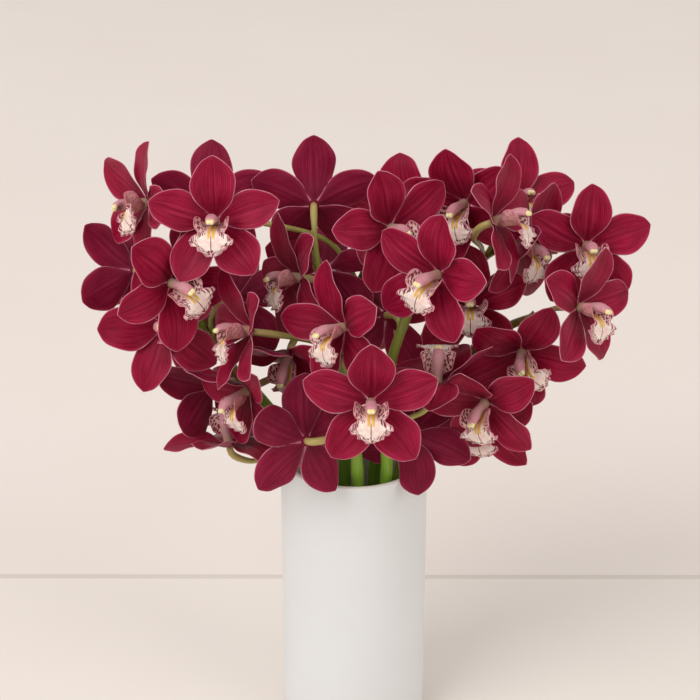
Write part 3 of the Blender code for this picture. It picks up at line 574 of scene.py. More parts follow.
# %% How a piece gives way
TOUCH_SOFT = 3.0
ROOT_STIFF = 150.0
TEPAL_TURNS, TEPAL_CARRIES = 0.7, 0.12
STALK_BOWS, STALK_CARRIES = 0.8, 0.10
BLOOM_MOVES = 0.6
SHRINK, SMALLEST = 0.995, 0.72


def touched(cloud, way):
    """The side of a cloud that lies furthest back along a direction."""
    reach = cloud @ way
    share = np.exp(-(reach - reach.min()) / TOUCH_SOFT)
    return (cloud * share[:, None]).sum(axis=0) / share.sum()


def push(piece, cloud, shove, way, moves):
    """Notes in moves how one cloud gives way to a shove."""
    k = bloom_of[piece]
    kind = kind_of[piece]
    if k < 0 or kind == "tongue":
        return
    if kind in ("tepal", "outer"):
        number = tepal_of[piece]
        arm = touched(cloud, way) - centres[k]
        spin = np.cross(arm, shove) / (arm @ arm + ROOT_STIFF)
        turn = axes[k] @ outward(shapes[k][number])
        round_it = np.array([spin @ axes[k][:, 2], -spin @ turn[:, 1], spin @ turn[:, 0]])
        moves["swing"][k, number] += TEPAL_TURNS * round_it
        if kind == "tepal":
            moves["shift"][k] += TEPAL_CARRIES * shove
    elif kind == "stalk":
        moves["bow"][k] += STALK_BOWS * shove
        moves["shift"][k] += STALK_CARRIES * shove
    else:
        moves["shift"][k] += BLOOM_MOVES * shove


def within(values, limit):
    """Arrows shortened to a limit."""
    size = np.maximum(np.linalg.norm(values, axis=1, keepdims=True), 1e-9)
    return values * np.minimum(1.0, limit / size)


def shrink_if_stuck(piece):
    """A tepal that still finds no room late on grows a little smaller."""
    if kind_of[piece] in ("tepal", "outer"):
        shape = shapes[bloom_of[piece]][tepal_of[piece]]
        shape["size"] = max(shape["size"] * SHRINK, SMALLEST)


print("largest weight:", weight_of.max())

# %% [markdown]
# The rounds themselves. Until the last 30, everything is also drawn gently back to the place that
# was read from the picture, so that blooms only move as far as they have to.

# %% Letting the bunch settle
ROUNDS = 140
CALM_ROUNDS = 30
SWING_LIMIT = np.radians([16.0, 34.0, 40.0])
SHIFT_LIMIT = 22.0
BOW_LIMIT = 16.0
TOUCH_MORE, STRONGEST = 0.1, 8.0
STUCK = 0.5
SWING_STEP, SHIFT_STEP = 0.12, 4.0
SWING_KEEPS, BOW_KEEPS, HOMEWARD = 0.985, 0.98, 0.02
SIDEWAYS = 0.5
for turn in range(ROUNDS):
    clouds = all_clouds()
    first, second, way, space = crowded(clouds)
    if len(space) == 0:
        break
    still = {"swing": swings, "shift": centres, "bow": bows}
    moves = {name: np.zeros_like(values) for name, values in still.items()}
    for a, b, n, gap in zip(first, second, way, space):
        shove = min(ROOM - gap + TOUCH_MORE, STRONGEST)
        share = weight_of[a] / (weight_of[a] + weight_of[b])
        push(a, clouds[a], n * shove * share, n, moves)
        push(b, clouds[b], -n * shove * (1 - share), -n, moves)
        if turn > ROUNDS // 2 and gap < STUCK:
            shrink_if_stuck(a)
            shrink_if_stuck(b)
    swings += np.clip(moves["swing"], -SWING_STEP, SWING_STEP)
    swings = np.clip(swings, -SWING_LIMIT, SWING_LIMIT)
    to_eye = (moves["shift"] @ VIEW_TOWARD)[:, None] * VIEW_TOWARD
    shift = SIDEWAYS * moves["shift"] + (1 - SIDEWAYS) * to_eye
    centres += within(shift, SHIFT_STEP)
    bows += moves["bow"]
    if turn < ROUNDS - CALM_ROUNDS:
        swings *= SWING_KEEPS
        centres += (home - centres) * HOMEWARD
        bows *= BOW_KEEPS
    centres = home + within(centres - home, SHIFT_LIMIT)
    bows = within(bows, BOW_LIMIT)
worst = float((ROOM - space).max(initial=0.0))
print("pairs still a little close:", len(space), "worst:", round(worst, 2), "mm")

# %% [markdown]
# Everything in a plant is either a blade or a tube, so two helpers are enough to make all of its
# skins. A blade is a front grid and a back grid with a rim between them. A tube is a row of rings.
# Each gives its points, its faces and three maps, which later tell a finish where it is: "place" is
# how far along and across, "real" is true distance at 50 mm to one unit, and "edge" is the distance
# from the margin, or a tube's radius, and a number of the skin's own, so that no two look alike.

# %% Blades and tubes
REAL_UNIT = 50.0


def blade(front, back, along, across, along_mm, across_mm, margin_mm, variety, finishes=(0, 1, 2)):
    """A closed blade whose last row is one point; finishes are its front's, back's and rim's."""
    rows, files = along.shape
    number = np.arange(rows * files).reshape(rows, files)
    number[-1] = number[-1, 0]
    other = number + rows * files
    faces = []
    finish = []

    def keep(corners, kind):
        """Adds a face, without the corners that fall together."""
        face = list(dict.fromkeys(int(c) for c in corners))
        if len(face) > 2:
            faces.append(face)
            finish.append(kind)

    for i in range(rows - 1):
        for j in range(files - 1):
            corners = [(i, j), (i + 1, j), (i + 1, j + 1), (i, j + 1)]
            keep([number[corner] for corner in corners], finishes[0])
            keep([other[corner] for corner in corners[::-1]], finishes[1])
    loop = [(i, 0) for i in range(rows)] + [(rows - 1, j) for j in range(1, files)]
    loop += [(i, files - 1) for i in range(rows - 2, -1, -1)] + [(0, j) for j in range(files - 2, 0, -1)]
    for a, b in zip(loop, loop[1:] + loop[:1]):
        if number[a] != number[b]:
            keep((number[a], other[a], other[b], number[b]), finishes[2])
    maps = {
        "place": np.stack([along, (across + 1) / 2], axis=-1),
        "real": np.stack([across_mm / REAL_UNIT + 0.5, along_mm / REAL_UNIT], axis=-1),
        "edge": np.stack([margin_mm / REAL_UNIT, np.full(along.shape, variety)], axis=-1),
    }
    used, renumbered = np.unique(np.concatenate(faces), return_inverse=True)
    ends = np.cumsum([len(face) for face in faces])[:-1]
    faces = [part.tolist() for part in np.split(renumbered, ends)]
    maps = {name: np.concatenate([m.reshape(-1, 2)] * 2)[used] for name, m in maps.items()}
    points = np.concatenate([front.reshape(-1, 3), back.reshape(-1, 3)])[used]
    return {"points": points, "faces": faces, "finish": finish, "maps": maps}


def tube(rings, variety, finish=0):
    """A closed tube through rings of points, with a flat cap at each end."""
    count, sides, _ = rings.shape
    faces = [list(range(sides))[::-1]]
    for i in range(count - 1):
        for j in range(sides):
            following = (j + 1) % sides
            a, b = i * sides + j, i * sides + following
            faces.append([a, b, b + sides, a + sides])
    faces.append([(count - 1) * sides + j for j in range(sides)])
    middle = rings.mean(axis=1)
    run = np.concatenate([[0.0], np.cumsum(np.linalg.norm(np.diff(middle, axis=0), axis=1))])
    wide = np.linalg.norm(rings - middle[:, None], axis=2)
    turn = np.linspace(0.0, 1.0, sides, endpoint=False)
    run = np.repeat(run[:, None], sides, axis=1)
    along = run / max(run[-1, 0], 1e-6)
    round_it = np.repeat(turn[None, :], count, axis=0)
    girth = round_it * 2 * math.pi * wide
    maps = {
        "place": np.stack([along, round_it], axis=-1),
        "real": np.stack([girth / REAL_UNIT, run / REAL_UNIT], axis=-1),
        "edge": np.stack([wide / REAL_UNIT, np.full(wide.shape, variety)], axis=-1),
    }
    maps = {name: m.reshape(-1, 2) for name, m in maps.items()}
    return {"points": rings.reshape(-1, 3), "faces": faces, "finish": [finish] * len(faces), "maps": maps}


def piece(name, skins, finishes, slot, nodes):
    """One object from several skins; it hangs on the root body, and the measured solids that it stands for
    are hidden.
    """
    points, faces, finish = [], [], []
    for skin in skins:
        faces.extend([[c + len(points) for c in face] for face in skin["faces"]])
        points.extend(skin["points"] * MM)
        finish.extend(skin["finish"])
    mesh = bpy.data.meshes.new(name)
    mesh.from_pydata(points, [], faces)
    corners = np.zeros(len(mesh.loops), int)
    mesh.loops.foreach_get("vertex_index", corners)
    for map_name in ("place", "real", "edge"):
        values = np.concatenate([skin["maps"][map_name] for skin in skins])
        mesh.uv_layers.new(name=map_name).data.foreach_set("uv", values[corners].ravel())
    for paint in finishes:
        mesh.materials.append(paint)
    mesh.polygons.foreach_set("material_index", finish)
    mesh.shade_smooth()
    made = bpy.data.objects.new(name, mesh)
    bpy.context.scene.collection.objects.link(made)
    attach(made, "root")
    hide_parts(*nodes)
    return made


print("map unit in mm:", REAL_UNIT)

# %% [markdown]
# One tepal in detail. Its middle surface is the same as the measured solid's. On the plant it has a
# channel down its middle, a margin that waves a little and thins out, a tip drawn to a short point,
# and a root that widens to join its neighbours. Each is a small change to the width or a small step
# along the surface's own normal. The points lie closer together towards the root, the tip and the
# margins, where the form is finest.

# %% A tepal's surface
TEPAL_ROWS, TEPAL_FILES = 30, 17
CHANNEL_DEEP, CHANNEL_WIDE = 0.5, 1.3
WAVE_HIGH = 1.0
SWELL_HIGH = 0.6
TIP_AT, TIP_LONG, TIP_PINCH = 0.975, 0.03, 0.16
ROOT_FAN = 0.16
ROOT_WIDER = 0.55
MARGIN_UNEVEN = 0.03
FAN_SHARE = 0.8
TIP_THINNER, MARGIN_THINNER = 0.25, 0.6


def smooth_step(x):
    """Rises from 0 to 1 as x does, without corners, and stays there."""
    x = np.clip(x, 0.0, 1.0)
    return x * x * (3 - 2 * x)


def steps_of(grid, axis):
    """Running distance in mm through a grid of points, along one of its two ways."""
    length = np.linalg.norm(np.diff(grid, axis=axis), axis=2)
    start = np.zeros_like(length[:1] if axis == 0 else length[:, :1])
    return np.cumsum(np.concatenate([start, length], axis=axis), axis=axis)


def normals_of(grid):
    """Unit normals of a grid of points, towards the front."""
    n = np.cross(np.gradient(grid, axis=0), np.gradient(grid, axis=1))
    return n / np.maximum(np.linalg.norm(n, axis=2, keepdims=True), 1e-9)


def true_distances(grid):
    """Along, across from the middle line and in from the margin, all in mm."""
    across = steps_of(grid, 1)
    middle = across[:, grid.shape[1] // 2][:, None]
    whole = across[:, -1:]
    along = steps_of(grid, 0)
    to_tip = along[-1:] - along
    return along, across - middle, np.minimum(np.minimum(across, whole - across), to_tip)


def tepal_skin(shape, swing, sector, rng):
    """One tepal in its own frame: x out, y across, z to the front."""
    x = np.linspace(0.0, 1.0, TEPAL_ROWS)
    y = np.linspace(-1.0, 1.0, TEPAL_FILES)
    along, across = np.meshgrid(0.6 * x + 0.4 * smooth_step(x), 1.3 * y - 0.3 * y ** 3, indexing="ij")
    phase = rng.uniform(0.0, 2 * math.pi, 6)
    side_phase = np.where(across > 0, phase[0], phase[1])
    width = 1 - TIP_PINCH * np.exp(-((along - TIP_AT) / TIP_LONG) ** 2) + ROOT_WIDER * (1 - along) ** 4
    width = width * (1 + MARGIN_UNEVEN * np.sin(9 * along + side_phase) * np.abs(across))
    points = tepal_points(shape, swing, along, across * width)
    half_width = np.linalg.norm(points[:, -1] - points[:, 0], axis=1)[:, None] / 2
    normal = normals_of(points)
    body = smooth_step(along / 0.25) * smooth_step((1 - along) / 0.2)
    wave = WAVE_HIGH * rng.uniform(0.5, 1.2) * np.abs(across) ** 3 * np.sin(13 * along + side_phase)
    swell = SWELL_HIGH * np.sin(7 * along + phase[2]) * (1 - across ** 2)
    channel = -CHANNEL_DEEP * np.exp(-(across * half_width / CHANNEL_WIDE) ** 2)
    points = points + normal * ((wave + swell) * body + channel * smooth_step((1 - along) / 0.3))[..., None]
    angle = sector[0] + (sector[1] - sector[0]) * (across + 1) / 2
    fan = HEART_RADIUS * FAN_SHARE * np.stack([np.cos(angle), np.sin(angle), 0 * angle], axis=-1)
    grown = smooth_step(along / ROOT_FAN)[..., None]
    points = fan * (1 - grown) + points * grown
    normal = normals_of(points)
    normal[0] = [0.0, 0.0, 1.0]
    normal[-1] = normal[-2, TEPAL_FILES // 2]
    thick = TEPAL_THICK * (1 - TIP_THINNER * along) * (1 - MARGIN_THINNER * np.abs(across) ** 5)
    half = normal * thick[..., None] / 2
    turn = outward(shape).T
    front, back = (points + half) @ turn, (points - half) @ turn
    return blade(front, back, along, across, *true_distances(points), rng.uniform())


tepal = tepal_skin(shapes[0][0], swings[0, 0], (-0.5, 0.5), np.random.default_rng(SEED))
print("points in a tepal:", len(tepal["points"]), "faces:", len(tepal["faces"]))

# %% [markdown]
# A round thing that follows a line, such as a stalk, needs rings that stay square to the line. Each
# ring's side direction is carried on from the one before, so that the tube doesn't twist.

# %% Rings along a line
def rings_along(line, ring_radii, sides, bulge=None):
    """Rings of points round a line; bulge(angle, place) is a factor on the radius."""
    line = np.asarray(line, float)
    heading = np.gradient(line, axis=0)
    heading /= np.linalg.norm(heading, axis=1, keepdims=True)
    side = unit(np.cross(heading[0], [0.31, 0.24, 0.92] if abs(heading[0][2]) < 0.9 else [1.0, 0.1, 0.0]))
    angle = np.linspace(0.0, 2 * math.pi, sides, endpoint=False)
    out = []
    for k, (point, radius) in enumerate(zip(line, ring_radii)):
        side = unit(side - heading[k] * (side @ heading[k]))
        other = np.cross(heading[k], side)
        reach = radius * (bulge(angle, k / (len(line) - 1)) if bulge else np.ones(sides))
        out.append(point + reach[:, None] * (np.cos(angle)[:, None] * side + np.sin(angle)[:, None] * other))
    return np.array(out)


def upright_rings(profile, sides):
    """Rings about the Z axis from a profile of radii and heights."""
    angle = np.linspace(0.0, 2 * math.pi, sides, endpoint=False)
    return np.array([[(r * math.cos(a), r * math.sin(a), z) for a in angle] for r, z in profile])


print("ring test:", rings_along([(0, 0, 0), (0, 0, 10)], [1, 1], 8).shape)

# %% [markdown]
# The heart is where the five tepals and the lip join the ovary: a low cushion, mostly hidden by the
# column. It is a small turned form, which is joined to the bloom's five tepals further down.

# %% Hearts
HEART_SIDES = 16


def heart_skin(rng):
    """A low round cushion about the bloom's own axis."""
    profile = [(0.6, -1.1), (2.6, -1.0), (4.0, -0.6), (4.4, -0.1), (3.9, 0.35), (2.4, 0.55), (0.5, 0.6)]
    return tube(upright_rings(profile, HEART_SIDES), rng.uniform(), 1)


print("points in a heart:", len(heart_skin(np.random.default_rng(SEED))["points"]))

# %% [markdown]
# The lip in detail. Its two side lobes stand up round the column, and a notch parts them from the
# front lobe, whose margin is crisped like a piecrust. Two low keels run down the middle: they guide
# an insect in. The keels belong to the upper face only, so they thicken the blade there.

# %% A lip's surface
LIP_THICK = 0.9
LIP_ROWS, LIP_FILES = 46, 27
NOTCH_AT, NOTCH_LONG, NOTCH_DEEP = 0.57, 0.035, 0.24
CRISP_HIGH, CRISPS = 1.5, 62.0
KEEL_HIGH, KEEL_WIDE, KEEL_APART = 1.7, 0.85, 1.8
ROUND_FROM = 0.86
FLARE, FLARE_AT, FLARE_LONG = 0.24, 0.69, 0.07
END_NARROWER = 0.3
RIPPLE_HIGH, END_CRISP_HIGH = 0.5, 0.9
LIP_MARGIN_THINNER = 0.55


def lip_skin(rng):
    """The lip in the bloom's own frame."""
    x = np.linspace(0.0, 1.0, LIP_ROWS)
    y = np.linspace(-1.0, 1.0, LIP_FILES)
    along, across = np.meshgrid(x, 1.25 * y - 0.25 * y ** 3, indexing="ij")
    width = 1 - NOTCH_DEEP * np.exp(-((along - NOTCH_AT) / NOTCH_LONG) ** 2)
    past = np.clip((along - ROUND_FROM) / (1 - ROUND_FROM), 0.0, 1.0)
    width = width * (1 + 1.3 * past) * np.sqrt(1 - past ** 2)
    width = width * (1 + FLARE * np.exp(-((along - FLARE_AT) / FLARE_LONG) ** 2))
    width = width * (1 - END_NARROWER * smooth_step((along - 0.78) / 0.2))
    points = lip_points(along, across * width)
    normal = normals_of(points)
    half_width = steps_of(points, 1)[:, -1:] / 2
    phase = rng.uniform(0.0, 2 * math.pi, 4)
    front_lobe = smooth_step((along - 0.6) / 0.08)
    crisp = CRISP_HIGH * front_lobe * np.abs(across) ** 2.2
    crisp = crisp * np.sin(CRISPS * along + np.where(across > 0, phase[0], phase[1]))
    ripple = RIPPLE_HIGH * (1 - front_lobe) * smooth_step(along / 0.3)
    ripple = ripple * np.abs(across) ** 4 * np.sin(24 * along + phase[2])
    end_crisp = END_CRISP_HIGH * past * np.sin(9 * across + phase[3])
    points = points + normal * (crisp + ripple + end_crisp)[..., None]
    normal = normals_of(points)
    normal[-1] = normal[-2, LIP_FILES // 2]
    from_middle = np.abs(across) * half_width
    keels = KEEL_HIGH * np.exp(-((from_middle - KEEL_APART) / KEEL_WIDE) ** 2)
    keels = keels * smooth_step((along - 0.12) / 0.1) * smooth_step((0.66 - along) / 0.08)
    thick = LIP_THICK * (1 - LIP_MARGIN_THINNER * np.abs(across) ** 4)
    front = points + normal * (thick / 2 + keels)[..., None]
    back = points - normal * thick[..., None] / 2
    return blade(front, back, along, across, *true_distances(points), rng.uniform())


print("points in a lip:", len(lip_skin(np.random.default_rng(SEED))["points"]))

# %% [markdown]
# The column is a fleshy rod, round above and hollowed below, arched over the lip. It ends in a hood,
# and under the hood sits the cream anther cap, which covers the pollen. The cap is two small lobes.
# The hood's end is closed by a few ever smaller rings.

# %% Column and anther cap
COLUMN_RINGS, COLUMN_SIDES = 18, 20
HOLLOW_DEEP = 0.34
HOOD_END, HOOD_ANGLES = 1.8, [25.0, 48.0, 68.0, 83.0]
CAP_RADIUS = 3.4
CAP_DOWN, CAP_BACK, CAP_APART = -0.7, 1.2, 1.1
CAP_LONG, CAP_FLAT = 5.4, 0.62
CAP_RINGS, CAP_SIDES = 8, 12
COLUMN_DROOP = 0.5


def column_line():
    """The column's fine centre line and radii, its end held a little higher than in the solid."""
    line, ring_radii = column_path(COLUMN_RINGS)
    line[:, 1] = COLUMN_HIGH + (line[:, 1] - COLUMN_HIGH) * COLUMN_DROOP
    return line, ring_radii


def column_skin(rng):
    """The column in the bloom's own frame."""
    line, ring_radii = column_line()
    heading = unit(line[-1] - line[-2])
    close = np.radians(HOOD_ANGLES)
    line = np.concatenate([line, line[-1] + heading * (HOOD_END * np.sin(close))[:, None]])
    ring_radii = np.concatenate([ring_radii, ring_radii[-1] * np.cos(close)])
    angle = np.linspace(0.0, 2 * math.pi, COLUMN_SIDES, endpoint=False)
    below = np.maximum(-np.sin(angle), 0.0)
    side = np.array([1.0, 0.0, 0.0])
    rings = []
    for k, (point, radius) in enumerate(zip(line, ring_radii)):
        ahead = unit(line[min(k + 1, len(line) - 1)] - line[max(k - 1, 0)])
        top = np.cross(ahead, side)
        opened = smooth_step((k / (len(line) - 1) - 0.1) / 0.3)
        reach = radius * (1 - HOLLOW_DEEP * below ** 2 * opened)
        rings.append(point + reach[:, None] * (np.cos(angle)[:, None] * side + np.sin(angle)[:, None] * top))
    return tube(np.array(rings), rng.uniform(), 3)


def cap_skin(rng, sideways):
    """One lobe of the anther cap, a small egg under the end of the hood."""
    line, _ = column_line()
    heading = unit(line[-1] - line[-3])
    below = np.cross([1.0, 0.0, 0.0], heading)
    start = line[-1] + below * CAP_DOWN + np.array([sideways, 0.0, 0.0]) - heading * CAP_BACK
    place = np.linspace(0.06, 0.97, CAP_RINGS)
    bent = below * (0.5 * np.sin(math.pi * place))[:, None]
    points = start + heading * (place * CAP_LONG)[:, None] + bent
    ring_radii = CAP_RADIUS * CAP_FLAT * np.sqrt(np.clip(1 - (2 * place - 1) ** 2, 0.02, 1.0))
    return tube(rings_along(points, ring_radii, CAP_SIDES), rng.uniform(), 4)


print("column points:", len(column_skin(np.random.default_rng(SEED))["points"]))

# %% [markdown]
# Colours are given as the hex values that a screen shows. Blender mixes light in linear values, so one
# function turns the one into the other. Every finish below is a stack of thin coats, each painted over the
# last where some pattern says so, and these helpers keep each coat to a line: one adds a node with its
# settings and its links, one marks a band of a measure, one lays a coat on.

# %% Helpers for finishes
def linear(hex_colour):
    """The linear colour of an sRGB hex value."""
    values = [int(hex_colour[k:k + 2], 16) / 255 for k in (1, 3, 5)]
    return tuple(v / 12.92 if v <= 0.04045 else ((v + 0.055) / 1.055) ** 2.4 for v in values) + (1.0,)


def add(tree, kind, inputs=None, **settings):
    """Adds a node and gives its outputs; an input that is given a socket is linked, any other is set."""
    made = tree.nodes.new("ShaderNode" + kind)
    for name, value in settings.items():
        setattr(made, name, value)
    for place, value in (inputs or {}).items():
        if isinstance(value, bpy.types.NodeSocket):
            tree.links.new(value, made.inputs[place])
        else:
            made.inputs[place].default_value = value
    return made.outputs


def band(tree, value, low, high, soft, top=1.0):
    """A socket that is top where value lies between low and high, with soft ends; None is no end."""
    ends = []
    if low is not None:
        ends.append(add(tree, "MapRange", {0: value, 1: low - soft, 2: low + soft, 4: top})[0])
        top = 1.0
    if high is not None:
        ends.append(add(tree, "MapRange", {0: value, 1: high - soft, 2: high + soft, 3: top, 4: 0.0})[0])
    if len(ends) == 1:
        return ends[0]
    return add(tree, "Math", {0: ends[0], 1: ends[1]}, operation="MULTIPLY")[0]


def painted(tree, under, hex_colour, *amounts):
    """A colour with a coat of another over it, as thick as the amounts multiplied together."""
    amount = amounts[0]
    for other in amounts[1:]:
        amount = add(tree, "Math", {0: amount, 1: other}, operation="MULTIPLY")[0]
    under = linear(under) if isinstance(under, str) else under
    return add(tree, "Mix", {0: amount, 6: under, 7: linear(hex_colour)}, data_type="RGBA")[2]


def fresh(name, values):
    """A new material and its node tree; the values go to the shader's own sockets."""
    finish = bpy.data.materials.new(name)
    finish.use_nodes = True
    shader = finish.node_tree.nodes["Principled BSDF"]
    for socket, value in values.items():
        shader.inputs[socket].default_value = value
    return finish, finish.node_tree


def finished(finish, colour=None, relief=None, strength=0.0, deep=0.0):
    """Links the last coat, and a relief that is deep metres high, to the material's shader."""
    tree = finish.node_tree
    shader = tree.nodes["Principled BSDF"]
    if colour:
        tree.links.new(colour, shader.inputs["Base Color"])
    if relief:
        bump = add(tree, "Bump", {"Height": relief, "Strength": strength, "Distance": deep})[0]
        tree.links.new(bump, shader.inputs["Normal"])
    return finish


print("white in linear values:", linear("#FFFFFF")[:3])

# %% [markdown]
# The maps say where a point is on its blade or tube. They are read in one place, and the distances
# from the middle line and from the margin are turned back to millimetres, so that a line beside
# either is given its real width. Plant tissue is mostly water, which bends light by 1.33, and
# its cell walls bend it more, so 1.42 is a fair middle. Some light enters it and comes out reddened
# a few millimetres on.

# %% Reading the maps
WET_TISSUE = {"IOR": 1.42, "Subsurface Scale": 1.0}


def read_maps(tree):
    """Where a point is; off_middle and margin are in mm, real is a whole map for a pattern."""
    real = add(tree, "UVMap", uv_map="real")[0]
    along, across, _ = add(tree, "SeparateXYZ", {0: add(tree, "UVMap", uv_map="place")[0]})
    side, run, _ = add(tree, "SeparateXYZ", {0: real})
    inward, own, _ = add(tree, "SeparateXYZ", {0: add(tree, "UVMap", uv_map="edge")[0]})
    shifted = add(tree, "Math", {0: side, 1: REAL_UNIT, 2: -REAL_UNIT / 2}, operation="MULTIPLY_ADD")[0]
    return SimpleNamespace(
        real=real, along=along, across=across, side=side, run=run, own=own,
        off_middle=add(tree, "Math", {0: shifted}, operation="ABSOLUTE")[0],
        margin=add(tree, "Math", {0: inward, 1: REAL_UNIT}, operation="MULTIPLY")[0])


print("maps: place, real, edge")

# %% [markdown]
# A tepal is living tissue: a waxy skin over cells full of red sap. It was grown, not made, so its
# pattern follows its growth: fine veins run from root to tip, a groove marks the middle, and the
# margin has less pigment and shows as a thin pale line, here and there more than elsewhere. The
# skin gives a soft satin shine and a faint down. The veins stand 1.3 mm apart.

# %% Tepal tissue, a red waxy petal skin
VEIN_SPACING, TEPAL_WIDE = 1.3, 30.0
MARGIN_WIDTH = 0.8
HIGHLIGHT_LINES_AT, HIGHLIGHT_LINES_HALF = 2.6, 0.7
GROOVE_WIDE = 0.6


def tepal_tissue(name, sap, vein, rose, margin, shine):
    """sap is the colour of the cells, vein the darker lines and the painted shade at the root, rose the
    paler streaks, the outer part and the painted highlight lines.
    """
    finish, tree = fresh(name, {
        **WET_TISSUE, "Roughness": shine, "Specular IOR Level": 0.15,
        "Subsurface Weight": 0.12, "Subsurface Radius": (0.004, 0.0008, 0.0008),
        "Sheen Weight": 0.05, "Sheen Roughness": 0.35, "Sheen Tint": linear("#E8708C")})
    at = read_maps(tree)
    lanes = TEPAL_WIDE / VEIN_SPACING
    here = add(tree, "CombineXYZ", {0: at.across, 1: at.along, 2: at.own})[0]
    drawn_out = add(tree, "VectorMath", {0: here, 1: (lanes, 1.6, 40.0)}, operation="MULTIPLY")[0]
    streaks = add(tree, "TexNoise", {"Vector": drawn_out, "Scale": 1.0, "Detail": 3.0, "Roughness": 0.6})[0]
    wander = add(tree, "Math", {0: streaks, 1: 3.0}, operation="MULTIPLY")[0]
    turns = add(tree, "Math", {0: at.across, 1: 2 * math.pi * lanes, 2: wander}, operation="MULTIPLY_ADD")[0]
    wave = add(tree, "Math", {0: turns}, operation="SINE")[0]
    veins = add(tree, "MapRange", {0: wave, 1: 0.25})[0]
    patch = add(tree, "TexNoise", {"Vector": at.real, "Scale": 3.0, "Detail": 2.0})[0]
    pale = add(tree, "MapRange", {0: streaks, 1: 0.38, 2: 0.72, 4: 0.6})[0]
    shade = add(tree, "MapRange", {0: patch, 1: 0.35, 2: 0.7, 4: 0.35})[0]
    groove = add(tree, "MapRange", {0: at.off_middle, 2: GROOVE_WIDE, 3: 0.45, 4: 0.0})[0]
    # painted highlight: pale lines either side of the middle, as where low ridges catch the light
    ridge_highlight = band(tree, at.off_middle, HIGHLIGHT_LINES_AT - HIGHLIGHT_LINES_HALF, HIGHLIGHT_LINES_AT + HIGHLIGHT_LINES_HALF, 0.6)
    near_edge = add(tree, "MapRange", {0: at.margin, 1: MARGIN_WIDTH * 5, 2: 0.0, 4: 0.3})[0]
    edge = add(tree, "MapRange", {0: at.margin, 1: MARGIN_WIDTH, 2: MARGIN_WIDTH * 0.55})[0]
    uneven = add(tree, "MapRange", {0: patch, 1: 0.38, 2: 0.6, 3: 0.35})[0]
    colour = painted(tree, sap, rose, pale)
    colour = painted(tree, colour, vein, veins, 0.55)
    colour = painted(tree, colour, vein, shade)
    colour = painted(tree, colour, vein, groove)
    # painted highlight: rose lines beside the middle, stronger on some tepals than others
    colour = painted(tree, colour, rose, ridge_highlight, band(tree, at.along, 0.12, 0.72, 0.12, 0.5), at.own)
    # painted shade: darker towards the root, where the tepals crowd together at the heart
    colour = painted(tree, colour, vein, band(tree, at.along, None, 0.3, 0.2), 0.5)
    colour = painted(tree, colour, rose, near_edge)
    colour = painted(tree, colour, margin, edge, uneven)
    grain = add(tree, "TexNoise", {"Vector": at.real, "Scale": 160.0, "Detail": 2.0})[0]
    relief = add(tree, "Math", {0: veins, 1: -0.7, 2: grain}, operation="MULTIPLY_ADD")[0]
    return finished(finish, colour, relief, 0.35, 0.00025)


tepal_finishes = [
    tepal_tissue("tepal_skin_front", "#90042E", "#4E0012", "#B42E56", "#D08C9A", 0.4),
    tepal_tissue("tepal_skin_back", "#820E34", "#56041C", "#9C3052", "#C47C8E", 0.5),
    tepal_tissue("tepal_skin_edge", "#C87C8E", "#B0607A", "#D08A9A", "#D898A6", 0.5)]
print("tepal finishes:", len(tepal_finishes))

# %% [markdown]
# The lip's skin is the same living tissue with far less sap: cream in front, blush on the side
# lobes, with crimson freckles near the margin and a fine stripe down the middle. They are landing
# marks for insects. A real freckle is about 1 mm wide, which is too fine to show from this far, so
# it is drawn about 2 mm wide, one to each 2.7 mm cell of the pattern. The keels are yellow.

# %% Lip tissue
FRECKLE = 2.7
FRECKLES_FROM, FRECKLES_TO = 0.6, 5.8
SIDE_FRECKLES_FROM = 5.0
STRIPE_HALF = 0.35
KEEL_FROM, KEEL_TO = 0.8, 2.9


